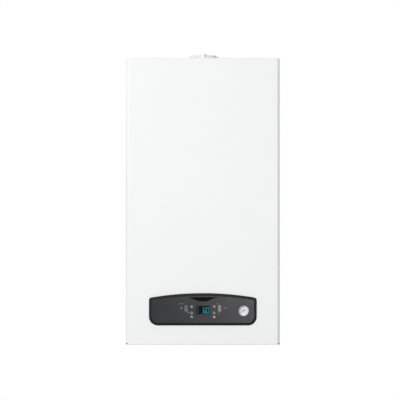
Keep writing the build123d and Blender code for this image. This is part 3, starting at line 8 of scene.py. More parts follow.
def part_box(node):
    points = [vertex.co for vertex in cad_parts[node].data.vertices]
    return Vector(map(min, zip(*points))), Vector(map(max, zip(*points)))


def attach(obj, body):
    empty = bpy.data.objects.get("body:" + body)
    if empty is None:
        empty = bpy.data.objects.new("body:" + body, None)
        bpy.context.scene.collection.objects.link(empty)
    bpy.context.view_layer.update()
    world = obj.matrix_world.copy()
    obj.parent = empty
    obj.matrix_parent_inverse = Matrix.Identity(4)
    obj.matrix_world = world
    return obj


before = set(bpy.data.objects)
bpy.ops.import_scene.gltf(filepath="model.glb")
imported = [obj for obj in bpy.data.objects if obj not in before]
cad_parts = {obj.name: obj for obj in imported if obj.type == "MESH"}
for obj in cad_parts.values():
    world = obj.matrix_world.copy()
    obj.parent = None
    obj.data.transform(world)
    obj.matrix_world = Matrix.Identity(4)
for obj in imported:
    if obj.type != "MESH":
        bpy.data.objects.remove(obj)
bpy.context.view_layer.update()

# A wall-hung gas boiler: finishes for the parts of the frame, and the small pieces on them.
# Pieces are modelled in millimetres, in the frame's own axes, and scaled to metres at the end.
# "base" is the bottom edge of the case, so base + h is h millimetres above it.

mm = 0.001
base = -705                  # the bottom edge of the case
fascia_face = -325           # the flat front of the control panel
button_face = -326
print_film = 0.06            # how thick printed ink stands
print_layer = 0.02           # how much each crossing layer of ink adds
smooth_below = 35            # faces that meet at fewer degrees are shaded as one
flue_y = -130                # the flue's middle
tower_x = 130                # the middle of the flow and return blocks, to either side
exchanger_level = 470        # the heat exchanger's middle, above the base
electrode = (38, 508)        # across, and above the base
gauge = (105.6, 88.7)        # across, and above the base
pump_level = 140
drain = (58, -195)           # the trap's middle, across and in depth
plate_level = 30             # the underside of the bottom plate

to_front = Vector((0, -1, 0))
to_wall = Vector((0, 1, 0))
upwards = Vector((0, 0, 1))
downwards = Vector((0, 0, -1))
to_right = Vector((1, 0, 0))
to_left = Vector((-1, 0, 0))


# ------------------------------------------------------------------ making materials

def linear(code):
    """Turns an sRGB hex colour into the linear colour that a shader takes."""
    parts = [int(code[i:i + 2], 16) / 255 for i in (0, 2, 4)]
    return tuple(p / 12.92 if p <= 0.04045 else ((p + 0.055) / 1.055) ** 2.4 for p in parts) + (1,)


def per(size):
    """The scale at which a pattern repeats about every so many millimetres."""
    return 1000 / size


class Finish:
    """A material: plain values on its shader, and nodes that feed the shader's sockets."""

    def __init__(self, name, colour, roughness, metallic=0.0, **sockets):
        self.material = bpy.data.materials.new(name)
        self.material.use_nodes = True
        self.material.diffuse_color = linear(colour)
        self.tree = self.material.node_tree
        self.shader = self.tree.nodes["Principled BSDF"]
        plain = {"Base_Color": linear(colour), "Roughness": roughness, "Metallic": metallic}
        for socket, value in {**plain, **sockets}.items():
            self.shader.inputs[socket.replace("_", " ")].default_value = value
        self.place = self.add("TexCoord").outputs["Object"]

    def add(self, kind, settings=None, links=None):
        """Adds one node, with its settings and what feeds its sockets."""
        node = self.tree.nodes.new("ShaderNode" + kind)
        for name, value in (settings or {}).items():
            if name == "stops":
                for stop, (position, colour) in zip(node.color_ramp.elements, value):
                    stop.position = position
                    stop.color = colour
            elif isinstance(name, int) or name in node.inputs:
                node.inputs[name].default_value = value
            else:
                setattr(node, name, value)
        for name, source in (links or {}).items():
            self.link(source, node.inputs[name])
        return node

    def feed(self, **sockets):
        """Links nodes to the shader's sockets. Returns the finished material."""
        for socket, source in sockets.items():
            self.link(source, self.shader.inputs[socket.replace("_", " ")])
        return self.material

    def link(self, source, socket):
        """Links an output to a socket. A node stands for its first output."""
        self.tree.links.new(getattr(source, "outputs", [source])[0], socket)


# ------------------------------------------------------------------ finishes

def powder_coated_steel():
    """White polyester powder coat: an even satin gloss with a faint orange peel."""
    coat = Finish("powder_coated_steel_white", "EFF0F0", 0.36, IOR=1.5)
    # orange peel, about 3 mm from crest to crest
    peel = coat.add("TexNoise", {"Scale": per(3), "Detail": 2.0, "Roughness": 0.45},
                    {"Vector": coat.place})
    bump = coat.add("Bump", {"Strength": 0.12, "Distance": 0.06 * mm}, {"Height": peel})
    cloud = coat.add("TexNoise", {"Scale": per(90), "Detail": 3.0}, {"Vector": coat.place})
    gloss = coat.add("MapRange", {3: 0.33, 4: 0.40}, {0: cloud})
    return coat.feed(Normal=bump, Roughness=gloss)


def galvanised_sheet(name, darker, lighter, spangle):
    """Hot-dip zinc on steel: grey metal in small spangles, each a shade off the next."""
    zinc = Finish(name, lighter, 0.42, 1.0)
    grains = zinc.add("TexVoronoi", {"Scale": per(spangle), "Randomness": 1.0},
                      {"Vector": zinc.place})
    grey = zinc.add("SeparateColor", links={0: grains.outputs["Color"]})
    # a slow drift of tone over the sheet, as zinc runs off it in the bath
    drift = zinc.add("TexNoise", {"Scale": per(90), "Detail": 3.0}, {"Vector": zinc.place})
    both = zinc.add("Mix", {"Factor": 0.45}, {2: grey, 3: drift})
    tone = zinc.add("ValToRGB", {"stops": ((0, linear(darker)), (1, linear(lighter)))}, {0: both})
    scratch = zinc.add("TexNoise", {"Scale": per(1.2), "Detail": 4.0}, {"Vector": zinc.place})
    rough = zinc.add("MapRange", {3: 0.38, 4: 0.5}, {0: grey.outputs[1]})
    bump = zinc.add("Bump", {"Strength": 0.1, "Distance": 0.05 * mm}, {"Height": scratch})
    return zinc.feed(Base_Color=tone, Roughness=rough, Normal=bump)


def plated_screw_steel():
    """Zinc-plated screws and spindles: bright, with a slight yellow cloudiness."""
    zinc = Finish("zinc_plated_screw_steel", "C9C9C4", 0.28, 1.0)
    cloud = zinc.add("TexNoise", {"Scale": per(2.5), "Detail": 3.0}, {"Vector": zinc.place})
    tone = zinc.add("ValToRGB", {"stops": ((0, linear("BDBBAE")), (1, linear("D3D4D2")))},
                    {0: cloud})
    rough = zinc.add("MapRange", {3: 0.2, 4: 0.38}, {0: cloud})
    return zinc.feed(Base_Color=tone, Roughness=rough)


def foam_rubber(name, colour, cell):
    """Foam sheet or rubber: matt, with open cells pitting the surface, each pit darkened by painted
    shade.
    """
    foam = Finish(name, colour, 0.92)
    cells = foam.add("TexVoronoi", {"Scale": per(cell), "Randomness": 1.0}, {"Vector": foam.place})
    bump = foam.add("Bump", {"Strength": 0.5, "Distance": 0.3 * mm},
                    {"Height": cells.outputs["Distance"]})
    # the colour darkens towards each cell's pit: painted shade in the pits
    shade = foam.add("Mix", {"data_type": "RGBA", "blend_type": "MULTIPLY", "Factor": 0.35,
                             6: linear(colour)}, {7: cells.outputs["Distance"]})
    return foam.feed(Normal=bump, Base_Color=shade.outputs[2])


def moulded_plastic(name, colour, roughness, grain=0.7, depth=0.3, lighter=None, **sockets):
    """Injection-moulded plastic: one colour with a fine spark-eroded grain from its mould."""
    plastic = Finish(name, colour, roughness, **sockets)
    # the real grain is a few tenths of a millimetre and is drawn a little coarser, so it shows
    spark = plastic.add("TexNoise", {"Scale": per(grain), "Detail": 2.0, "Roughness": 0.6},
                        {"Vector": plastic.place})
    bump = plastic.add("Bump", {"Strength": depth, "Distance": 0.08 * mm}, {"Height": spark})
    cloud = plastic.add("TexNoise", {"Scale": per(40), "Detail": 4.0}, {"Vector": plastic.place})
    rough = plastic.add("MapRange", {3: roughness - 0.05, 4: roughness + 0.05}, {0: cloud})
    stops = (0.3, linear(colour)), (0.75, linear(lighter or colour))
    tone = plastic.add("ValToRGB", {"stops": stops}, {0: cloud})
    return plastic.feed(Normal=bump, Roughness=rough, Base_Color=tone)


def glass_filled_nylon(name, colour, lighter):
    """Glass-filled polyamide: matt, with pale fibre streaks along the way it flowed."""
    nylon = Finish(name, colour, 0.58)
    stretch = nylon.add("Mapping", {"Scale": (1.0, 1.0, 0.16)}, {"Vector": nylon.place})
    fibre = nylon.add("TexNoise", {"Scale": per(1.1), "Detail": 5.0, "Roughness": 0.7},
                      {"Vector": stretch})
    tone = nylon.add("ValToRGB", {"stops": ((0.42, linear(colour)), (0.72, linear(lighter)))},
                     {0: fibre})
    bump = nylon.add("Bump", {"Strength": 0.25, "Distance": 0.1 * mm}, {"Height": fibre})
    rough = nylon.add("MapRange", {3: 0.48, 4: 0.68}, {0: fibre})
    return nylon.feed(Base_Color=tone, Normal=bump, Roughness=rough)


def cast_aluminium(name, colour, darker, roughness):
    """Die-cast aluminium: dull grey with a pebbled skin and darker flow marks."""
    cast = Finish(name, colour, roughness, 1.0)
    pebble = cast.add("TexNoise", {"Scale": per(1.6), "Detail": 3.0, "Roughness": 0.6},
                      {"Vector": cast.place})
    flow = cast.add("TexNoise", {"Scale": per(26), "Detail": 4.0, "Distortion": 0.8},
                    {"Vector": cast.place})
    tone = cast.add("ValToRGB", {"stops": ((0.35, linear(darker)), (0.7, linear(colour)))},
                    {0: flow})
    bump = cast.add("Bump", {"Strength": 0.35, "Distance": 0.15 * mm}, {"Height": pebble})
    rough = cast.add("MapRange", {3: roughness - 0.1, 4: roughness + 0.12}, {0: flow})
    return cast.feed(Base_Color=tone, Normal=bump, Roughness=rough)


def stainless_steel(name, colour, tint, stretch, roughness):
    """Rolled or drawn stainless steel: fine drawn lines, and a straw tint where it has been hot."""
    steel = Finish(name, colour, roughness, 1.0)
    along = steel.add("Mapping", {"Scale": stretch}, {"Vector": steel.place})
    # drawing lines about half a millimetre apart
    lines = steel.add("TexNoise", {"Scale": per(0.6), "Detail": 3.0}, {"Vector": along})
    heat = steel.add("TexNoise", {"Scale": per(60), "Detail": 2.0}, {"Vector": steel.place})
    tone = steel.add("ValToRGB", {"stops": ((0.35, linear(colour)), (0.75, linear(tint)))},
                     {0: heat})
    bump = steel.add("Bump", {"Strength": 0.15, "Distance": 0.05 * mm}, {"Height": lines})
    rough = steel.add("MapRange", {3: roughness - 0.08, 4: roughness + 0.1}, {0: lines})
    return steel.feed(Base_Color=tone, Normal=bump, Roughness=rough)


def brazed_plate_stack():
    """Pressed stainless plates with a copper braze line showing between each pair."""
    pitch = 6.1
    stack_front = 160           # in front of the wall
    plates = Finish("brazed_stainless_plates", "BDBBB6", 0.32, 1.0)
    split = plates.add("SeparateXYZ", links={0: plates.place})
    step = plates.add("Math", {"operation": "MULTIPLY_ADD", 1: per(pitch), 2: stack_front / pitch},
                      {0: split.outputs["Y"]})
    turn = plates.add("Math", {"operation": "FRACT"}, {0: step})
    tone = plates.add("ValToRGB", {"stops": ((0.64, linear("BDBBB6")), (0.7, linear("B0703F")))},
                      {0: turn})
    press = plates.add("TexNoise", {"Scale": per(1.5), "Detail": 3.0}, {"Vector": plates.place})
    bump = plates.add("Bump", {"Strength": 0.2, "Distance": 0.08 * mm}, {"Height": press})
    return plates.feed(Base_Color=tone, Normal=bump)


def copper_pipe():
    """Drawn copper pipe: warm and bright, with brown oxide in patches."""
    copper = Finish("drawn_copper_pipe", "C98A66", 0.28, 1.0)
    oxide = copper.add("TexNoise", {"Scale": per(22), "Detail": 6.0, "Roughness": 0.65},
                       {"Vector": copper.place})
    tone = copper.add("ValToRGB", {"stops": ((0.36, linear("8E5637")), (0.62, linear("CF9270")))},
                      {0: oxide})
    rough = copper.add("MapRange", {3: 0.42, 4: 0.2}, {0: oxide})
    return copper.feed(Base_Color=tone, Roughness=rough)


def turned_brass():
    """Turned brass fittings: yellow metal with fine tool lines and a little tarnish."""
    metal = Finish("turned_brass", "C6A35C", 0.3, 1.0)
    lines = metal.add("Mapping", {"Scale": (0.1, 0.1, 1.0)}, {"Vector": metal.place})
    tool = metal.add("TexNoise", {"Scale": per(0.5), "Detail": 2.0}, {"Vector": lines})
    tarnish = metal.add("TexNoise", {"Scale": per(12), "Detail": 4.0}, {"Vector": metal.place})
    tone = metal.add("ValToRGB", {"stops": ((0.35, linear("A5833F")), (0.7, linear("CDAB66")))},
                     {0: tarnish})
    bump = metal.add("Bump", {"Strength": 0.15, "Distance": 0.05 * mm}, {"Height": tool})
    rough = metal.add("MapRange", {3: 0.4, 4: 0.22}, {0: tarnish})
    return metal.feed(Base_Color=tone, Normal=bump, Roughness=rough)


def stove_enamel(name, colour, darker):
    """Stove-enamelled steel: a thick, glossy coat with a soft orange peel."""
    enamel = Finish(name, colour, 0.25, Coat_Weight=0.4, Coat_Roughness=0.1)
    peel = enamel.add("TexNoise", {"Scale": per(2.5), "Detail": 2.0}, {"Vector": enamel.place})
    cloud = enamel.add("TexNoise", {"Scale": per(70), "Detail": 3.0}, {"Vector": enamel.place})
    tone = enamel.add("ValToRGB", {"stops": ((0, linear(darker)), (1, linear(colour)))}, {0: cloud})
    bump = enamel.add("Bump", {"Strength": 0.2, "Distance": 0.1 * mm}, {"Height": peel})
    return enamel.feed(Base_Color=tone, Normal=bump)


def burner_gauze():
    """The burner's perforated steel: heat-browned metal with rows of small ports, painted near black
    as painted shade in the holes.
    """
    gauze = Finish("perforated_burner_steel", "8F8474", 0.4, 1.0)
    # ports about 2.5 mm apart
    ports = gauze.add("TexVoronoi", {"Scale": per(2.5), "Randomness": 0.0}, {"Vector": gauze.place})
    # the ports are painted near black: painted shade standing in for the dark inside each hole
    tone = gauze.add("ValToRGB", {"stops": ((0.28, linear("1A1714")), (0.34, linear("8F8474")))},
                     {0: ports.outputs["Distance"]})
    bump = gauze.add("Bump", {"Strength": 0.6, "Distance": 0.4 * mm}, {"Height": tone})
    return gauze.feed(Base_Color=tone, Normal=bump)


def circuit_board():
    """A glass-epoxy circuit board: green lacquer with paler copper tracks under it."""
    board = Finish("lacquered_circuit_board", "1F5A37", 0.35, Coat_Weight=0.3)
    turn = board.add("Mapping", {"Rotation": (radians(90), 0, 0)}, {"Vector": board.place})
    tracks = board.add("TexBrick", {"Scale": per(16), "Mortar Size": 0.03, "Bias": 0.0,
                                    "Color1": linear("1B5232"), "Color2": linear("22613C"),
                                    "Mortar": linear("3B8A5A")}, {"Vector": turn})
    bump = board.add("Bump", {"Strength": 0.3, "Distance": 0.1 * mm}, {"Height": tracks.outputs[1]})
    return board.feed(Base_Color=tracks, Normal=bump)


def mould_waves(plastic):
    """The faint waviness that a polished mould leaves on clear plastic."""
    wave = plastic.add("TexNoise", {"Scale": per(14), "Detail": 1.0}, {"Vector": plastic.place})
    return plastic.add("Bump", {"Strength": 0.05, "Distance": 0.05 * mm}, {"Height": wave})


def clear_plastic(name, colour, ior, roughness):
    """Clear moulded plastic, see-through."""
    clear = Finish(name, colour, roughness, Transmission_Weight=1.0, IOR=ior)
    # lamplight passes straight through, so what lies behind is lit
    ray = clear.add("LightPath")
    solid = clear.add("Math", {"operation": "SUBTRACT", 0: 1.0}, {1: ray.outputs["Is Shadow Ray"]})
    return clear.feed(Normal=mould_waves(clear), Alpha=solid)


def smoked_plastic():
    """The display's smoked window: a dark see-through film with little gloss of its own."""
    smoked = Finish("smoked_polycarbonate", "05090F", 0.12, Alpha=0.3, Specular_IOR_Level=0.12)
    return smoked.feed(Normal=mould_waves(smoked))


def milky_plastic():
    """Natural polypropylene of the trap: waxy and milky, so light soaks into it."""
    milky = Finish("natural_polypropylene", "DCDEDA", 0.38, Subsurface_Weight=0.5,
                   Subsurface_Scale=0.004)
    haze = milky.add("TexNoise", {"Scale": per(18), "Detail": 3.0}, {"Vector": milky.place})
    tone = milky.add("ValToRGB", {"stops": ((0, linear("C9CCC8")), (1, linear("E6E7E3")))},
                     {0: haze})
    return milky.feed(Base_Color=tone)


def glowing_ink(name, colour, strength):
    """Lit segments behind the window: an even glow in the display's own colour."""
    ink = Finish(name, colour, 0.5, Emission_Color=linear(colour), Emission_Strength=strength)
    # the light guide leaves the segments a touch uneven
    uneven = ink.add("TexNoise", {"Scale": per(6), "Detail": 1.0}, {"Vector": ink.place})
    brighter = tuple(min(1, part * 1.25) for part in linear(colour)[:3]) + (1,)
    tone = ink.add("ValToRGB", {"stops": ((0, linear(colour)), (1, brighter))}, {0: uneven})
    return ink.feed(Base_Color=tone, Emission_Color=tone)


def printed_ink(name, colour, roughness=0.55):
    """Pad-printed ink: a thin flat film, very slightly mottled."""
    ink = Finish(name, colour, roughness)
    mottle = ink.add("TexNoise", {"Scale": per(0.4), "Detail": 2.0}, {"Vector": ink.place})
    rough = ink.add("MapRange", {3: roughness - 0.08, 4: roughness + 0.08}, {0: mottle})
    return ink.feed(Roughness=rough)


def glazed_ceramic():
    """Alumina with a glaze: creamy white and glassy, with a few grey specks."""
    glaze = Finish("glazed_alumina", "EFECE3", 0.18, Coat_Weight=0.5)
    specks = glaze.add("TexNoise", {"Scale": per(0.9), "Detail": 2.0}, {"Vector": glaze.place})
    tone = glaze.add("ValToRGB", {"stops": ((0.25, linear("B9B4A8")), (0.36, linear("EFECE3")))},
                     {0: specks})
    return glaze.feed(Base_Color=tone)


case_white = powder_coated_steel()
zinc_sheet = galvanised_sheet("galvanised_steel_sheet", "A6ABAE", "BEC3C6", 5.5)
screw_steel = plated_screw_steel()
foam_liner_grey = foam_rubber("grey_closed_cell_foam", "6A6D70", 1.6)
button_grey = moulded_plastic("mid_grey_silicone_button", "57595C", 0.5, 0.5, 0.3, "5B5D60")
manifold_metal = cast_aluminium("die_cast_aluminium", "B3B6B8", "A0A4A7", 0.5)
motor_plastic = moulded_plastic("black_polybutylene", "18191B", 0.45, 0.9, 0.4, "1E1F22")
impeller_nylon = glass_filled_nylon("grey_impeller_nylon", "4B4D50", "6D6F72")
block_nylon = glass_filled_nylon("charcoal_block_nylon", "2F3134", "4A4C4F")
print_white = printed_ink("white_print", "C9CBCD")
print_grey = printed_ink("grey_print", "8E9194")
print_black = printed_ink("black_print", "1A1A1B")
segment_glow = glowing_ink("teal_display_glow", "33B5C4", 1.1)
sign_glow = glowing_ink("dim_teal_sign_glow", "2491A0", 0.8)

node_finishes = {
    "wall_bracket": galvanised_sheet("galvanised_bracket_steel", "8F9497", "A3A8AB", 3.5),
    "back_frame": zinc_sheet,
    "top_panel": case_white,
    "bottom_plate": zinc_sheet,
    "left_side_panel": case_white,
    "right_side_panel": case_white,
    "front_casing": case_white,
    "casing_gasket": foam_rubber("black_epdm_foam", "1B1B1C", 0.8),
    "casing_fasteners": screw_steel,
    "control_fascia": moulded_plastic("charcoal_abs_grained", "101115", 0.24, 0.8, 0.3, "141519",
                                      Specular_IOR_Level=0.25),
    "control_box": moulded_plastic("black_flame_retardant_abs", "1C1D1F", 0.5, 0.9, 0.4, "222325"),
    "fascia_badge": moulded_plastic("gloss_black_acrylic", "040405", 0.12, 6, 0.05,
                                    Specular_IOR_Level=0.06),
    "display_window": smoked_plastic(),
    "display_module": moulded_plastic("unlit_display_glass", "030C17", 0.3, 8, 0.03, "05111F",
                                      Specular_IOR_Level=0.03),
    "control_board": circuit_board(),
    "on_off_button": moulded_plastic("charcoal_silicone_button", "303235", 0.5, 0.5, 0.3, "35373A"),
    "mode_button": button_grey,
    "water_plus_button": button_grey,
    "water_minus_button": button_grey,
    "heating_plus_button": button_grey,
    "heating_minus_button": button_grey,
    "reset_button": moulded_plastic("pale_grey_silicone_button", "828487", 0.5, 0.5, 0.3, "888A8D"),
    "gauge_case": moulded_plastic("black_gauge_abs", "17181A", 0.42, 0.8, 0.3),
    # the white dial is given a mid grey: painted shade, holding down the bright light it gets through
    # its lens
    "gauge_dial": printed_ink("dial_paint_with_painted_shade", "ADADB1", 0.5),
    "gauge_needle": printed_ink("black_needle_paint", "121212", 0.4),
    "gauge_lens": clear_plastic("clear_acrylic_lens", "FFFFFF", 1.3, 0.03),
    "flue_collar": moulded_plastic("white_flue_polypropylene", "F2F3F3", 0.42, 1.2, 0.25, "F6F6F6"),
    "test_point_caps": moulded_plastic("white_cap_polypropylene", "F2F3F3", 0.4, 1.0, 0.25),
    "flue_duct": moulded_plastic("ivory_flue_duct_plastic", "DEDCD2", 0.45, 1.4, 0.25, "E4E2D9"),
    "heat_exchanger_shell": stainless_steel("deep_drawn_stainless", "BBBBBA", "C4B79C",
                                            (0.12, 1.0, 0.12), 0.32),
    "heat_exchanger_coil": stainless_steel("stainless_coil", "A9A8A5", "B09872", (1.0, 0.1, 1.0),
                                           0.35),
    "burner": burner_gauze(),
    "burner_door": manifold_metal,
    "door_nuts": screw_steel,
    "mixer_manifold": manifold_metal,
    "fan_housing": manifold_metal,
    "fan_motor": motor_plastic,
    "fan_impeller": impeller_nylon,
    "venturi": manifold_metal,
    "intake_silencer": moulded_plastic("grey_silencer_polypropylene", "6E7275", 0.5, 1.2, 0.35,
                                       "767A7D"),
    "ignition_electrode": glazed_ceramic(),
    "ignition_transformer": moulded_plastic("dark_potting_resin", "22242A", 0.35, 1.4, 0.2,
                                            "282A31"),
    "ignition_lead": moulded_plastic("red_silicone_lead", "A5301F", 0.5, 0.6, 0.25, "AE3624"),
    "gas_valve": cast_aluminium("gas_valve_casting", "BEC0C2", "A0A3A6", 0.42),
    "gas_pipes": stainless_steel("zinc_plated_gas_pipe", "B7B8B2", "C0B78F", (1, 1, 0.1), 0.3),
    "expansion_vessel": stove_enamel("red_vessel_enamel", "A81B17", "971613"),
    "flow_block": block_nylon,
    "return_block": block_nylon,
    "pump_motor": stove_enamel("black_motor_enamel", "1F2124", "191B1D"),
    "pump_impeller": impeller_nylon,
    "plate_exchanger": brazed_plate_stack(),
    "water_pipes": copper_pipe(),
    "diverter_actuator": motor_plastic,
    "diverter_spindle": screw_steel,
    "relief_valve": turned_brass(),
    "relief_knob": moulded_plastic("red_knob_plastic", "B4221C", 0.38, 0.8, 0.3, "BC2A22"),
    "fill_tap": moulded_plastic("black_tap_plastic", "202123", 0.42, 0.8, 0.35),
    "condensate_trap": milky_plastic(),
    "condensate_hose": foam_rubber("black_epdm_hose", "1A1A1B", 0.6),
    "cable_gland": moulded_plastic("grey_gland_nylon", "77797C", 0.48, 0.8, 0.3),
}
for name, finish in node_finishes.items():
    for part_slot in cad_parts[name].material_slots:
        part_slot.material = finish


# ------------------------------------------------------------------ shapes used often

def limits(node):
    """The lowest and highest corners of a node, in millimetres."""
    low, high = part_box(node)
    return low / mm, high / mm


def at(x, y, level):
    """A point given by its height above the base."""
    return Vector((x, y, base + level))


def on_circle(x, y, radius, turn):
    """Where an angle in degrees falls on a circle: across, then up or back."""
    return x + radius * cos(radians(turn)), y + radius * sin(radians(turn))


def ring_spot(x, y, level, radius, turn):
    """The point at an angle on a circle that faces the front."""
    across, height = on_circle(x, level, radius, turn)
    return at(across, y, height)


def newer(shape, old):
    """The points that a shape has gained."""
    return [vert for vert in shape.verts if vert not in old]


def faces_of(verts):
    """All the faces that touch any of some points."""
    return list({face for vert in verts for face in vert.link_faces})


def pointing(way):
    """Turns what stands upright so that it points another way."""
    return upwards.rotation_difference(way).to_matrix().to_4x4()


def slab(shape, x, y, z, rounding, segments=2):
    """A block between three pairs of limits, with its edges rounded."""
    size = Matrix.Diagonal((x[1] - x[0], y[1] - y[0], z[1] - z[0], 1))
    middle = Matrix.Translation(((x[0] + x[1]) / 2, (y[0] + y[1]) / 2, (z[0] + z[1]) / 2))
    made = bmesh.ops.create_cube(shape, size=1, matrix=middle @ size)
    edges = list({edge for vert in made["verts"] for edge in vert.link_edges})
    bmesh.ops.bevel(shape, geom=edges, offset=rounding, affect="EDGES", segments=segments,
                    profile=0.5, material=-1)


def leaning_slab(shape, x, y, z, rounding, spot, lean):
    """A slab made round the origin, turned in its own plane and moved to its spot."""
    old = set(shape.verts)
    slab(shape, x, y, z, rounding)
    bmesh.ops.transform(shape, verts=newer(shape, old), matrix=Matrix.Translation(spot)
                        @ Matrix.Rotation(radians(lean), 4, "Y"))


def bar(shape, start, way, radius, length, sides, rounding):
    """A round or many-sided bar that starts at a point and runs one way, with rounded rims."""
    middle = Matrix.Translation(start + way * length / 2)
    made = bmesh.ops.create_cone(shape, cap_ends=True, segments=sides, radius1=radius,
                                 radius2=radius, depth=length, matrix=middle @ pointing(way))
    rims = list({edge for vert in made["verts"] for edge in vert.link_edges
                 if any(len(face.verts) == sides for face in edge.link_faces)})
    bmesh.ops.bevel(shape, geom=rims, offset=rounding, affect="EDGES", segments=2, profile=0.5,
                    material=-1)


def turned(shape, profile, centre, way, steps):
    """A turned shape: a profile of (radius, along) points spun once round its axis.

    A profile that starts on the axis also ends there. Any other closes on itself.
    """
    old = set(shape.verts)
    points = [shape.verts.new((radius, 0, along)) for radius, along in profile]
    pairs = list(zip(points, points[1:]))
    if profile[0][0] > 0:
        pairs.append((points[-1], points[0]))
    edges = [shape.edges.new(pair) for pair in pairs]
    bmesh.ops.spin(shape, geom=points + edges, cent=(0, 0, 0), axis=(0, 0, 1), angle=2 * pi,
                   steps=steps, use_merge=True)
    bmesh.ops.remove_doubles(shape, verts=newer(shape, old), dist=0.001)
    fresh = newer(shape, old)
    bmesh.ops.recalc_face_normals(shape, faces=faces_of(fresh))
    bmesh.ops.transform(shape, matrix=Matrix.Translation(centre) @ pointing(way), verts=fresh)


def sheet_screw(shape, spot, way, radius):
    """A hexagon-head sheet screw with its washer face, seated on a panel."""
    bar(shape, spot, way, radius * 1.25, radius * 0.22, 24, 0.15)
    bar(shape, spot + way * radius * 0.22, way, radius, radius * 0.6, 6, radius * 0.12)
    bar(shape, spot + way * radius * 0.8, way, radius * 0.55, 0.25, 20, 0.1)


def socket_screw(shape, spot, way, radius):
    """A cap screw: a round head with a rim round its sunk drive."""
    turned(shape, ((0, 0), (radius, 0), (radius, radius * 0.85), (radius * 0.85, radius),
                   (radius * 0.5, radius), (radius * 0.45, radius * 0.5), (0, radius * 0.5)),
           spot, way, 20)


def pan_screw(shape, spot, way, radius):
    """A pan-head screw: a low dome with a sunk drive."""
    turned(shape, ((0, 0), (radius, 0), (radius, radius * 0.3), (radius * 0.8, radius * 0.62),
                   (radius * 0.42, radius * 0.74), (radius * 0.3, radius * 0.35),
                   (0, radius * 0.3)), spot, way, 20)


def put_in_scene(name, data):
    """Puts an object into the scene."""
    made = bpy.data.objects.new(name, data)
    bpy.context.scene.collection.objects.link(made)
    return made


def piece(name, shape, slot, body="frame", finish=None):
    """Finishes a piece: scales it to metres, smooths it, and sets its body and material.

    Its material is its slot's own, unless it is given another.
    """
    bmesh.ops.scale(shape, vec=(mm, mm, mm), verts=shape.verts)
    for face in shape.faces:
        face.smooth = True
    for edge in shape.edges:
        edge.smooth = edge.calc_face_angle(0.0) < radians(smooth_below)
    mesh = bpy.data.meshes.new(name)
    shape.to_mesh(mesh)
    shape.free()
    mesh.materials.append(finish or node_finishes[slot])
    made = put_in_scene(name, mesh)
    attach(made, body)


# ------------------------------------------------------------------ print, built flat and placed

def on_front(y):
    """Places flat print on a surface that faces the front: across, then up from the base."""
    return Matrix.Translation((0, y, base)) @ Matrix.Rotation(radians(90), 4, "X")


def on_top(x, y, level):
    """Places flat print on a surface that faces up."""
    return Matrix.Translation((x, y, base + level))


def under(x, y, level):
    """Places flat print on a surface that faces down, to be read from the front."""
    return Matrix.Translation((x, y, base + level)) @ Matrix.Rotation(pi, 4, "X")


def raise_print(shape, verts, place, thick):
    """Gives flat print its thickness and puts it in its place."""
    made = bmesh.ops.extrude_face_region(shape, geom=faces_of(verts))
    top = [vert for vert in made["geom"] if isinstance(vert, bmesh.types.BMVert)]
    bmesh.ops.translate(shape, verts=top, vec=(0, 0, thick))
    whole = list(set(verts) | set(top))
    bmesh.ops.recalc_face_normals(shape, faces=faces_of(whole))
    bmesh.ops.transform(shape, matrix=place, verts=whole)


def print_bar(shape, place, x, y, width, height, turn=0.0, layer=0):
    """One short printed bar with round corners. Each layer stands clear of the print it crosses."""
    old = set(shape.verts)
    made = bmesh.ops.create_grid(shape, x_segments=1, y_segments=1, size=0.5)
    bmesh.ops.scale(shape, vec=(width, height, 1), verts=made["verts"])
    bmesh.ops.bevel(shape, geom=made["verts"], offset=min(width, height) * 0.35,
                    affect="VERTICES", segments=3, profile=0.5, material=-1)
    raise_print(shape, newer(shape, old), place @ Matrix.Translation((x, y, 0))
                @ Matrix.Rotation(radians(turn), 4, "Z"), print_film + print_layer * layer)


def print_ring(shape, place, x, y, radius, width, start=0, sweep=360):
    """A printed ring, or the part of one between two angles."""
    old = set(shape.verts)
    ends = [shape.verts.new((*on_circle(0, 0, rim, start), 0))
            for rim in (radius - width / 2, radius + width / 2)]
    edge = shape.edges.new(ends)
    bmesh.ops.spin(shape, geom=ends + [edge], cent=(0, 0, 0), axis=(0, 0, 1),
                   angle=radians(sweep), steps=sweep // 6, use_merge=sweep == 360)
    raise_print(shape, newer(shape, old), place @ Matrix.Translation((x, y, 0)), print_film)


def print_words(shape, place, words, x, y, height):
    """Raised words, centred on a place."""
    size_per_height = 1.38       # the font's size over the height of its capitals
    curve = bpy.data.curves.new("words", "FONT")
    curve.body = words
    curve.size = height * size_per_height
    curve.align_x = "CENTER"
    curve.align_y = "CENTER"
    curve.extrude = print_film / 2
    curve.resolution_u = 3
    holder = put_in_scene("words", curve)
    ready = holder.evaluated_get(bpy.context.evaluated_depsgraph_get())
    mesh = bpy.data.meshes.new_from_object(ready)
    mesh.transform(place @ Matrix.Translation((x, y, print_film / 2)))
    shape.from_mesh(mesh)
    bpy.data.objects.remove(holder)
    bpy.data.meshes.remove(mesh)


def fascia_prints():
    """White signs printed on the fascia: a tap and a radiator."""
    face = on_front(fascia_face)
    shape = bmesh.new()
    # the tap under the hot water buttons
    for layer, parts in enumerate(((-29.0, 72.9, 4.8, 1.3), (-26.8, 71.8, 1.3, 2.6),
                                   (-29.5, 74.1, 0.9, 1.6), (-29.5, 75.0, 3.0, 0.8),
                                   (-31.4, 72.6, 1.1, 2.8))):
        print_bar(shape, face, *parts, layer=layer)
    # the radiator under the heating buttons
    for step in range(4):
        print_bar(shape, face, 27.5 + 1.4 * step, 72.4, 0.95, 4.6)
    for level in (71.0, 73.8):
        print_bar(shape, face, 29.6, level, 5.2, 0.55, layer=1)
    piece("fascia_white_prints", shape, "control_fascia", "control_panel", print_white)


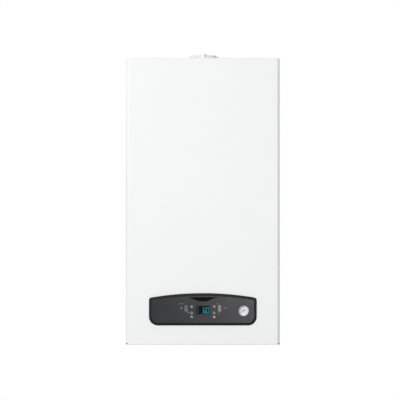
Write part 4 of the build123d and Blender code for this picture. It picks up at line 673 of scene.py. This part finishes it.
def fascia_small_prints():
    """Grey guides: on and off, a sun, a snowflake and a flame, and reset."""
    face = on_front(fascia_face)
    shape = bmesh.new()
    print_words(shape, face, "ON/OFF", -55.6, 106.7, 2.6)
    print_words(shape, face, "RESET", 58.6, 95.8, 2.8)
    sun = (-38.1, 84.6)
    print_ring(shape, face, *sun, 1.1, 0.7)
    for turn in range(0, 360, 45):
        print_bar(shape, face, *on_circle(*sun, 2.3, turn), 0.9, 0.4, turn)
    # a snowflake
    for layer in range(3):
        print_bar(shape, face, 37.6, 106.7, 4.2, 0.5, 60 * layer, layer)
    # a flame
    print_ring(shape, face, 40.7, 82.3, 1.1, 0.7, 130, 280)
    print_bar(shape, face, 40.2, 84.0, 0.6, 2.2, -18, 1)
    piece("fascia_grey_prints", shape, "control_fascia", "control_panel", print_grey)


def button_marks():
    """Plus, minus, power, mode and reset marks, each on its own button."""
    face = on_front(button_face)
    for kind, x in (("water", -28.8), ("heating", 29.6)):
        for sign, level in (("plus", 99.4), ("minus", 82.8)):
            shape = bmesh.new()
            print_bar(shape, face, x, level, 4.2, 0.8)
            if sign == "plus":
                print_bar(shape, face, x, level, 0.8, 4.2, layer=1)
            button = f"{kind}_{sign}_button"
            piece(f"{kind}_{sign}_mark", shape, button, button, print_white)
    shape = bmesh.new()
    print_ring(shape, face, -55.5, 95.8, 2.0, 0.5, 130, 280)
    print_bar(shape, face, -55.5, 97.6, 0.5, 2.2, layer=1)
    piece("power_mark", shape, "on_off_button", "on_off_button", print_grey)
    shape = bmesh.new()
    print_ring(shape, face, -43.3, 94.7, 3.4, 0.6, 40, 280)
    print_bar(shape, face, -41.0, 97.2, 1.8, 0.6, -60, 1)
    piece("mode_mark", shape, "mode_button", "mode_button", print_black)
    shape = bmesh.new()
    print_ring(shape, face, 43.6, 94.7, 2.4, 0.6, -60, 290)
    print_bar(shape, face, 45.0, 93.0, 1.8, 0.6, 20, 1)
    piece("reset_mark", shape, "reset_button", "reset_button", print_black)


def display_figures():
    """The lit figures and signs on the display, just in front of its glass."""
    face = on_front(limits("display_module")[0].y)
    middle = 89.4
    tall = 13.6
    wide = 6.4
    line = 1.25
    half = wide / 2
    upright_bar = tall / 2 - line * 0.7
    shape = bmesh.new()
    for lit, centre in (("afgecd", 4.3), ("abcdef", 12.6)):      # a 6 and a 0
        spots = {
            "a": (centre, middle + tall / 2, wide - line, line),
            "g": (centre, middle, wide - line, line),
            "d": (centre, middle - tall / 2, wide - line, line),
            "f": (centre - half, middle + tall / 4, line, upright_bar),
            "b": (centre + half, middle + tall / 4, line, upright_bar),
            "e": (centre - half, middle - tall / 4, line, upright_bar),
            "c": (centre + half, middle - tall / 4, line, upright_bar),
        }
        for segment in lit:
            print_bar(shape, face, *spots[segment], layer=2)
    print_ring(shape, face, 16.6, 96.4, 0.7, 0.4)
    piece("display_figures", shape, "display_module", "control_panel", segment_glow)
    shape = bmesh.new()
    # a radiator, a tap and a flame
    for step in range(3):
        print_bar(shape, face, -14.8 + 1.5 * step, 96.4, 0.8, 3.4)
    print_bar(shape, face, -13.3, 96.4, 4.6, 0.5, layer=1)
    for layer, parts in enumerate(((-12.6, 90.2, 4.0, 0.9), (-10.8, 89.2, 0.9, 2.0),
                                   (-13.2, 91.2, 0.8, 1.6))):
        print_bar(shape, face, *parts, layer=layer)
    print_ring(shape, face, -13.0, 84.2, 1.3, 0.7, 130, 280)
    print_bar(shape, face, -13.5, 86.2, 0.7, 2.4, -18, 1)
    piece("display_signs", shape, "display_module", "control_panel", sign_glow)


def gauge_marks():
    """The gauge's scale, from 0 to 4 bar."""
    x, level = gauge
    steps = 20
    per_number = 5
    first, sweep = 225, -270     # degrees
    face = on_front(limits("gauge_dial")[0].y)
    shape = bmesh.new()
    for step in range(steps + 1):
        turn = first + sweep / steps * step
        long, wide = (1.5, 0.5) if step % per_number else (2.4, 0.8)
        print_bar(shape, face, *on_circle(x, level, 11.9 - long / 2, turn), long, wide, turn)
        if step % per_number == 0:
            print_words(shape, face, str(step // per_number), *on_circle(x, level, 8.1, turn), 3.2)
    print_words(shape, face, "bar", x, level - 5.2, 1.9)
    piece("gauge_scale", shape, "gauge_dial", "control_panel", print_black)


fascia_prints()
fascia_small_prints()
button_marks()
display_figures()
gauge_marks()


# ------------------------------------------------------------------ outside and underneath

tail_y = -110
tails = ((-130, 13.2, 25.8), (-65, 10.5, 25.8), (0, 13.2, 27.8), (65, 10.5, 15.8),
         (130, 13.2, 15.8))     # across, radius, and the height that the thread reaches


def tail_threads():
    """The brass screw threads over the five pipe tails under the plate."""
    shape = bmesh.new()
    pitch = 1.8
    for x, radius, high in tails:
        low = 6
        bore = radius - 4.05
        profile = [(bore, high), (bore, low - 0.4), (radius - 0.7, low - 0.4)]
        level = low + 0.4
        while level + pitch < high:
            profile += [(radius + 0.05, level), (radius + 0.55, level + pitch / 2)]
            level += pitch
        profile += [(radius + 0.05, level), (radius + 0.05, high)]
        turned(shape, profile, Vector((x, tail_y, base)), upwards, 56)
    piece("tail_threads", shape, "relief_valve")


def plate_grommets():
    """Rubber grommets where pipes pass through the bottom plate."""
    shape = bmesh.new()
    places = [(x, tail_y, radius) for x, radius, _ in tails]
    places += [(-178, -95, 7.5), (*drain, 11)]
    for x, y, radius in places:
        turned(shape, ((radius + 0.2, 28.6), (radius + 3.2, 28.6), (radius + 3.8, 29.1),
                       (radius + 3.8, 29.95), (radius + 1.4, 29.95), (radius + 1.4, 31.4),
                       (radius + 0.2, 31.4)), Vector((x, y, base)), upwards, 48)
    piece("plate_grommets", shape, "casing_gasket")


def plate_prints():
    """What each connection is for, printed under the plate."""
    shape = bmesh.new()
    for words, (x, _, _) in zip(("FLOW", "HOT", "GAS", "COLD", "RETURN"), tails):
        place = under(x, -142, plate_level)
        print_words(shape, place, words, 0, 0, 5)
        # an arrow for the way the water or gas runs: out of the boiler, or into it
        way = -1 if words in ("FLOW", "HOT") else 1
        print_bar(shape, place, 0, -8, 0.9, 7)
        for side in (-1, 1):
            print_bar(shape, place, 1.3 * side, -8 + 2.4 * way, 4.2, 0.9, -50 * side * way,
                      layer=2 + side)
    piece("plate_prints", shape, "bottom_plate", finish=print_black)


def plate_screws():
    """The screws that hold the bottom plate, and those of the flue collar."""
    shape = bmesh.new()
    for x in (-188, 188):
        for y in (-60, -150, -225):
            sheet_screw(shape, at(x, y, plate_level), downwards, 3.6)
    for x in (-150, -50, 50, 150):
        sheet_screw(shape, at(x, -24, plate_level), downwards, 3.6)
    for turn in range(45, 360, 90):
        pan_screw(shape, (*on_circle(0, flue_y, 56, turn), 43), upwards, 3.6)
    piece("casing_screws", shape, "casing_fasteners")


def back_plate_details():
    """The back plate's pressed beads and the screws along its two sides."""
    shape = bmesh.new()
    for level in (150, 290, 430, 570):
        slab(shape, (-150, 150), (-10.2, -8.4), (base + level - 7, base + level + 7), 1.7, 3)
    for x in (-192, 192):
        for level in (60, 360, 640):
            sheet_screw(shape, at(x, -10, level), to_wall, 3.4)
    piece("back_plate_beads", shape, "back_frame")


def flue_seal():
    """The lip seal in the flue socket."""
    shape = bmesh.new()
    turned(shape, ((29.95, 44.5), (29.2, 45.2), (29.65, 47.4), (29.0, 48.6), (29.65, 50.8),
                   (29.0, 52), (29.95, 53.5)), Vector((0, flue_y, 0)), upwards, 64)
    piece("flue_lip_seal", shape, "casing_gasket")


def casing_liner():
    """The foam sheet inside the front casing, held by push-in studs."""
    shape = bmesh.new()
    inside = limits("front_casing")[0].y + 1
    slab(shape, (-184, 184), (inside + 0.05, inside + 4.2), (base + 150, base + 726), 1.6)
    piece("casing_foam_liner", shape, "casing_gasket", "front_casing", foam_liner_grey)
    shape = bmesh.new()
    for x in (-172, 0, 172):
        for level in (166, 345, 530, 710):
            turned(shape, ((0, 0), (6.5, 0), (6.5, 0.5), (4.5, 1.1), (0, 1.2)),
                   at(x, inside + 4.1, level), to_wall, 24)
    piece("foam_liner_studs", shape, "control_box", "front_casing")


tail_threads()
plate_grommets()
plate_prints()
plate_screws()
back_plate_details()
flue_seal()
casing_liner()


# ------------------------------------------------------------------ inside the case

def fan_details():
    """The fan: rims and screws on its scroll, and ribs, screws and a plug for its motor."""
    x = -42
    level = 655
    front = limits("fan_motor")[0].y
    scroll = limits("fan_housing")[0].y
    shape = bmesh.new()
    for rim in (((53.5, -0.2), (57.5, -0.2), (57.2, 1.4), (53.8, 1.4)),
                ((37.2, -0.2), (43, -0.2), (42.5, 1.8), (37.2, 1.8))):
        turned(shape, rim, at(x, scroll, level), to_front, 64)
    piece("fan_scroll_rims", shape, "fan_housing")
    shape = bmesh.new()
    for turn in (20, 90, 160, 200, 340):
        socket_screw(shape, ring_spot(x, scroll, level, 48.5, turn), to_front, 3)
    for turn in (30, 150, 270):
        pan_screw(shape, ring_spot(x, front, level, 25, turn), to_front, 3)
    for side in (-1, 1):
        for depth in (-262, -244):
            bar(shape, at(side * 26.5, depth, 598), upwards, 4.2, 3.2, 6, 0.4)
            bar(shape, at(side * 26.5, depth, 586), downwards, 4.2, 3.2, 6, 0.4)
    piece("fan_screws", shape, "casing_fasteners")
    shape = bmesh.new()
    for turn in range(11, 360, 45):
        leaning_slab(shape, (12, 29), (-1.1, 0.3), (-0.9, 0.9), 0.4, at(x, front, level), turn)
    turned(shape, ((0, -0.2), (10, -0.2), (10, 1), (8.8, 1.4), (0, 1.4)), at(x, front, level),
           to_front, 40)
    piece("fan_motor_ribs", shape, "fan_motor")
    shape = bmesh.new()
    slab(shape, (x - 11, x + 11), (-292, -276), (base + 602, base + 613), 1.0)
    for step in range(5):
        slab(shape, (x - 9 + 4 * step, x - 7 + 4 * step), (-292.5, -291.5),
             (base + 603.5, base + 611), 0.2, 1)
    piece("fan_plug", shape, "test_point_caps")


def silencer_details():
    """Stiffening ribs on the silencer's front, and its clip."""
    shape = bmesh.new()
    front = limits("intake_silencer")[0].y
    for level in (628, 643, 658, 673, 688):
        slab(shape, (-158, -84), (front - 1.6, front + 0.4), (base + level - 1.6, base + level + 1.6),
             0.9)
    slab(shape, (-164, -150), (front - 3, front + 2), (base + 697, base + 703), 1.0)
    piece("silencer_ribs", shape, "intake_silencer")


def burner_door_details():
    """The door's rope seal and sight glass, and the screws of the manifold and electrode."""
    door = -215
    shape = bmesh.new()
    turned(shape, ((116.5, -1.4), (118.6, -1.0), (118.9, 0), (118.6, 1.0), (116.5, 1.4)),
           at(0, -205, exchanger_level), to_front, 96)
    piece("door_rope_seal", shape, "casing_gasket", finish=foam_liner_grey)
    shape = bmesh.new()
    glass = at(-72, door, 445)
    turned(shape, ((5.2, -0.2), (9, -0.2), (9, 2.2), (7.6, 3.2), (5.8, 3.2), (5.2, 2.4)),
           glass, to_front, 40)
    piece("sight_glass_ring", shape, "relief_valve")
    shape = bmesh.new()
    turned(shape, ((0, -0.1), (5.15, -0.1), (5.15, 1.6), (3, 2.1), (0, 2.3)), glass, to_front, 32)
    piece("sight_glass", shape, "gauge_lens")
    shape = bmesh.new()
    for turn in (35, 145, 215, 325):
        socket_screw(shape, ring_spot(0, -270, exchanger_level, 31, turn), to_front, 3)
    for side in (-1, 1):
        socket_screw(shape, at(electrode[0] + 5.6 * side, door - 3, electrode[1]), to_front, 1.8)
    piece("manifold_screws", shape, "casing_fasteners")


def exchanger_bands():
    """Two stainless clamp bands round the shell, and the front one's bolts."""
    shape = bmesh.new()
    for depth in (-196, -92):
        turned(shape, ((114.8, -4), (115.9, -4), (116.3, -3.2), (115.9, -2.4), (115.9, 2.4),
                       (116.3, 3.2), (115.9, 4), (114.8, 4)),
               at(0, depth, exchanger_level), to_front, 96)
    for turn in (58, 302):
        spot = ring_spot(0, -196, exchanger_level, 118, turn)
        across = Vector((-sin(radians(turn)), 0, cos(radians(turn))))
        for along, radius, length, sides, rounding in (
                (-8, 2, 16, 20, 0.2), (-9.5, 3.6, 2.4, 6, 0.3), (-4, 3.2, 2, 24, 0.3),
                (3, 3.2, 2, 24, 0.3)):
            bar(shape, spot + across * along, across, radius, length, sides, rounding)
    piece("exchanger_clamp_bands", shape, "heat_exchanger_shell")


def gas_valve_details():
    """Coil covers, test points, the adjusting cap, screws and the valve's plug."""
    front = -255
    coil = 282.5
    shape = bmesh.new()
    for x in (-20, 20):
        turned(shape, ((0, 15), (6, 15), (6, 19.8), (14.6, 19.8), (16.4, 18), (16.4, 1.2),
                       (16.05, 1.0), (0, 1.0)), at(x, front, coil), to_front, 48)
    slab(shape, (-30, 30), (-272.2, -256), (base + 296.5, base + 307.6), 1.6)
    piece("gas_valve_coil_covers", shape, "fan_motor")
    shape = bmesh.new()
    for x in (-20, 20):
        bar(shape, at(x, front - 15.5, coil), to_front, 4.6, 3.6, 6, 0.4)
    for x in (-37, 37):
        for level in (236, 300):
            socket_screw(shape, at(x, front, level), to_front, 2.8)
    piece("gas_valve_screws", shape, "casing_fasteners")
    shape = bmesh.new()
    for x in (-27, 27):
        turned(shape, ((0, 0), (4.6, 0), (4.6, 3), (3.2, 3.6), (3.2, 8), (2.4, 8.6), (1.2, 8.6),
                       (1.0, 7), (0, 7)), at(x, front, 246), to_front, 28)
    piece("gas_test_points", shape, "relief_valve")
    shape = bmesh.new()
    turned(shape, ((0, 10), (11.3, 10), (11.3, 12.6), (10, 13.8), (2, 13.8), (1.6, 13), (0, 13)),
           at(0, front, 249), to_front, 32)
    slab(shape, (-13, 13), (-273.5, -258), (base + 305, base + 318), 1.2)
    piece("gas_valve_cap_and_plug", shape, "test_point_caps")


def pipe_sensors():
    """Clip-on temperature sensors on the flow and return pipes, with their plugs."""
    shape = bmesh.new()
    clips = bmesh.new()
    level = 243
    for x in (-tower_x, tower_x):
        slab(shape, (x - 7, x + 7), (-147, -134), (base + level - 9, base + level + 9), 1.6)
        slab(shape, (x - 5, x + 5), (-156, -146), (base + level - 6, base + level + 6), 1.0)
        for lean in (-6, 6):
            turned(clips, ((8.1, -1.6), (9.0, -1.6), (9.0, 1.6), (8.1, 1.6)),
                   at(x, -125, level + lean), upwards, 36)
    piece("pipe_sensor_bodies", shape, "control_box")
    piece("pipe_sensor_clips", clips, "casing_fasteners")


def hose_clips():
    """Wire-ended clips at both ends of the condensate hose."""
    shape = bmesh.new()
    for x, y, level in ((0, -150, 335), (*drain, 141)):
        turned(shape, ((9.05, -3), (9.9, -3), (9.9, 3), (9.05, 3)), at(x, y, level), upwards, 40)
        for side in (-1, 1):
            slab(shape, (x + side * 3 - 0.9, x + side * 3 + 0.9), (y - 15.5, y - 8.8),
                 (base + level - 2.6, base + level + 2.6), 0.3, 1)
    piece("hose_clips", shape, "casing_fasteners")


def trap_details():
    """The trap's union ring, with ribs to grip it by."""
    shape = bmesh.new()
    centre = at(*drain, 0)
    turned(shape, ((22.0, 108), (24.2, 108), (24.6, 109), (24.6, 121), (24.2, 122), (22.0, 122)),
           centre, upwards, 56)
    for turn in range(0, 360, 15):
        bar(shape, at(*on_circle(*drain, 24.5, turn), 109), upwards, 1.1, 12, 10, 0.3)
    piece("trap_union_ring", shape, "cable_gland")


def pump_details():
    """The pump's vent plug, its box's lid with knob and gland, its screws and its arrows."""
    x = tower_x
    front = limits("pump_motor")[0].y
    shape = bmesh.new()
    turned(shape, ((0, -0.5), (10, -0.5), (10, 1.2), (8.6, 2.6), (2.4, 2.6), (2.4, 1.4),
                   (0, 1.4)), at(x, front, pump_level), to_front, 36)
    piece("pump_vent_plug", shape, "relief_valve")
    shape = bmesh.new()
    slab(shape, (x - 25, x + 25), (-224.6, -223), (base + 171, base + 197), 1.4)
    turned(shape, ((0, 0), (8, 0), (8, 3.4), (7, 4.4), (0, 4.4)), at(x - 8, -224.6, 184), to_front, 32)
    slab(shape, (x - 9.2, x - 6.8), (-231.4, -228.8), (base + 177.5, base + 190.5), 0.8)
    turned(shape, ((0, 0), (6.4, 0), (6.4, 5), (4.4, 9), (3, 9), (3, 7), (0, 7)),
           at(x - 26, -197, 184), to_left, 28)
    piece("pump_box_lid", shape, "pump_motor", finish=motor_plastic)
    shape = bmesh.new()
    for side in (-1, 1):
        pan_screw(shape, at(x + 20.5 * side, -224.5, 176), to_front, 2.4)
    for turn in range(45, 360, 90):
        bar(shape, ring_spot(x, -171, pump_level, 41, turn), to_front, 3.6, 4, 24, 0.4)
    piece("pump_screws", shape, "casing_fasteners")
    shape = bmesh.new()
    place = on_front(front + 0.1)
    for turn in (20, 200):
        print_ring(shape, place, x, pump_level, 27, 2.4, turn, 120)
    for turn in (140, 320):
        for side in (-1, 1):
            print_bar(shape, place, *on_circle(x, pump_level, 27, turn), 8, 2.0,
                      turn - 90 + 35 * side, layer=2 + side)
    piece("pump_turning_arrows", shape, "pump_motor", finish=print_white)


def diverter_details():
    """The diverter actuator's ribs, retaining clip, screws and plug."""
    x = -tower_x
    front = limits("diverter_actuator")[0].y
    shape = bmesh.new()
    for step in range(4):
        slab(shape, (x - 15, x + 15), (front - 1, front + 0.4),
             (base + 147 + 3.6 * step, base + 148.6 + 3.6 * step), 0.5)
    turned(shape, ((0, -0.2), (9, -0.2), (9, 1.4), (8, 2), (0, 2)), at(x, front, 132), to_front, 32)
    piece("diverter_ribs", shape, "diverter_actuator")
    shape = bmesh.new()
    for side in (-1, 1):
        bar(shape, at(x + 20 * side, -166.4, 112), upwards, 1.1, 58, 16, 0.4)
    bar(shape, at(x - 20, -166.4, 170), to_right, 1.1, 40, 16, 0.4)
    for side in (-1, 1):
        pan_screw(shape, at(x + 19 * side, front, 121), to_front, 2.4)
    piece("diverter_clip", shape, "casing_fasteners")
    shape = bmesh.new()
    slab(shape, (x - 7.5, x + 7.5), (-193.5, -178.5), (base + 96, base + 105), 1.0)
    piece("diverter_plug", shape, "test_point_caps")


def plate_exchanger_details():
    """The plate exchanger's pressed rings and slanting ribs, and its bolts."""
    front = limits("plate_exchanger")[0].y
    middle = 88
    shape = bmesh.new()
    for x in (-66, 66):
        for level in (middle - 16, middle + 16):
            turned(shape, ((5.5, -0.2), (9.5, -0.2), (9, 0.9), (6, 0.9)), at(x, front, level),
                   to_front, 36)
    for step in range(9):
        for side in (-1, 1):
            leaning_slab(shape, (-1.3, 1.3), (-0.8, 0.3), (-12.5, 12.5), 0.7,
                         at(-44 + 11 * step, front, middle + 11 * side), 28 * side)
    piece("plate_exchanger_pressings", shape, "plate_exchanger")
    shape = bmesh.new()
    for x in (-79, 79):
        bar(shape, at(x, front, middle), to_front, 5, 4, 6, 0.4)
    piece("plate_exchanger_bolts", shape, "casing_fasteners")


def vessel_details():
    """The vessel's filling valve with its cap."""
    valve = at(128, -75, 640)
    shape = bmesh.new()
    turned(shape, ((0, 0), (7, 0), (7, 3), (4.6, 4), (4.6, 7), (0, 7)), valve, to_front, 28)
    piece("vessel_valve", shape, "relief_valve")
    shape = bmesh.new()
    turned(shape, ((0, 7), (5.4, 7), (5.4, 15), (4.4, 16.4), (0, 16.4)), valve, to_front, 28)
    piece("vessel_valve_cap", shape, "control_box")


def ignition_details():
    """The ignition transformer's ribs and its supply plug."""
    shape = bmesh.new()
    for step in range(5):
        slab(shape, (164 + 6 * step, 166.4 + 6 * step), (-241, -239.6), (base + 600, base + 650), 0.6)
    piece("transformer_ribs", shape, "ignition_transformer")
    shape = bmesh.new()
    slab(shape, (166, 186), (-232, -212), (base + 659.5, base + 669), 1.2)
    piece("transformer_plug", shape, "test_point_caps")


def relief_knob_mark():
    """The turning arrow on the relief valve's knob."""
    shape = bmesh.new()
    place = on_top(-tower_x, -95, limits("relief_knob")[1].z - base - 0.02)
    print_ring(shape, place, 0, 0, 8, 1.4, 20, 250)
    for lean in (-40, 40):
        print_bar(shape, place, *on_circle(0, 0, 8, 20), 4, 1.2, -70 + lean)
    piece("relief_knob_arrow", shape, "relief_knob", "relief_knob", print_white)


def control_box_details():
    """Screws, louvres and cable sleeves on the back of the control box."""
    rear = limits("control_box")[1].y
    shape = bmesh.new()
    for step in range(7):
        slab(shape, (-70 + 10 * step, -63.5 + 10 * step), (rear - 0.4, rear + 1.2),
             (base + 64, base + 90), 0.7)
    for x in (40, 62, 84):
        turned(shape, ((3.4, -0.5), (7, -0.5), (7, 2.2), (5.6, 3.4), (3.4, 3.4)),
               at(x, rear, 84), to_wall, 32)
    piece("control_box_louvres", shape, "control_box", "control_panel")
    shape = bmesh.new()
    for x in (-112, 112):
        for level in (62, 88):
            pan_screw(shape, at(x, rear, level), to_wall, 2.8)
    piece("control_box_screws", shape, "casing_fasteners", "control_panel")


fan_details()
silencer_details()
burner_door_details()
exchanger_bands()
gas_valve_details()
pipe_sensors()
hose_clips()
trap_details()
pump_details()
diverter_details()
plate_exchanger_details()
vessel_details()
ignition_details()
relief_knob_mark()
control_box_details()


# ------------------------------------------------------------------ camera, light and floor

def pale_floor():
    """A floor of plain paint that fades into the white surroundings and is open from below."""
    floor_radius = 7             # in metres, as every place in this section is
    below_case = 1.25
    shape = bmesh.new()
    bmesh.ops.create_circle(shape, cap_ends=True, segments=64, radius=floor_radius,
                            matrix=Matrix.Translation((0, 0, base * mm - below_case)))
    mesh = bpy.data.meshes.new("pale_floor")
    shape.to_mesh(mesh)
    shape.free()
    floor = put_in_scene("pale_floor", mesh)
    paint = Finish("pale_floor_paint", "E0E0DF", 0.8)
    away = paint.add("VectorMath", {"operation": "LENGTH"}, {0: paint.place})
    fade = paint.add("MapRange", {1: 3.0, 2: 6.5, 3: 1.0, 4: 0.0}, {0: away.outputs[1]})
    under = paint.add("NewGeometry")
    top = paint.add("Math", {"operation": "SUBTRACT", 0: 1.0}, {1: under.outputs["Backfacing"]})
    seen = paint.add("Math", {"operation": "MULTIPLY"}, {0: fade, 1: top})
    mesh.materials.append(paint.feed(Alpha=seen))


def white_surroundings():
    """White wherever it is seen, mirrored or looked through to, and a dim light elsewhere."""
    world = bpy.data.worlds.new("white_surroundings")
    bpy.context.scene.world = world
    world.use_nodes = True
    tree = world.node_tree
    light = tree.nodes["Background"]
    light.inputs["Strength"].default_value = 0.22
    bright = tree.nodes.new("ShaderNodeBackground")
    for background in (light, bright):
        background.inputs["Color"].default_value = (1, 1, 1, 1)
    ray = tree.nodes.new("ShaderNodeLightPath")
    seen = ray.outputs["Is Camera Ray"]
    for kind in ("Is Glossy Ray", "Is Transmission Ray"):
        either = tree.nodes.new("ShaderNodeMath")
        either.operation = "MAXIMUM"
        tree.links.new(seen, either.inputs[0])
        tree.links.new(ray.outputs[kind], either.inputs[1])
        seen = either.outputs[0]
    choice = tree.nodes.new("ShaderNodeMixShader")
    for socket, source in enumerate((seen, light.outputs[0], bright.outputs[0])):
        tree.links.new(source, choice.inputs[socket])
    tree.links.new(choice.outputs[0], tree.nodes["World Output"].inputs[0])


def soft_lights():
    """Square soft lights round the boiler, all turned to its middle."""
    target = Vector((0, -0.2, -0.33))
    for name, spot, size, power in (
        ("key_softbox", (-1.9, -3.8, 1.0), 2.0, 113),
        ("fill_softbox", (0.52, -5.2, -0.5), 0.4, 27),
        ("top_softbox", (0.3, -0.8, 2.6), 1.6, 16),
        ("back_softbox", (-1.4, 2.6, 0.9), 1.8, 40),
        ("side_softbox", (2.6, 1.1, 0.1), 1.6, 15),
    ):
        data = bpy.data.lights.new(name, "AREA")
        data.shape = "SQUARE"
        data.size = size
        data.energy = power
        lamp = put_in_scene(name, data)
        lamp.location = spot
        lamp.rotation_euler = (target - Vector(spot)).to_track_quat("-Z", "Y").to_euler()


def photo_camera():
    """A level camera with a long lens, straight in front of the middle of the case."""
    above_base = 0.376
    data = bpy.data.cameras.new("photo_camera")
    data.lens = 208
    data.sensor_width = 36
    data.clip_end = 100
    camera = put_in_scene("photo_camera", data)
    camera.location = (-0.0073, -6.319, base * mm + above_base)
    camera.rotation_euler = (radians(90), 0, 0)
    bpy.context.scene.camera = camera
    bpy.context.scene.view_settings.view_transform = "Standard"


pale_floor()
white_surroundings()
soft_lights()
photo_camera()
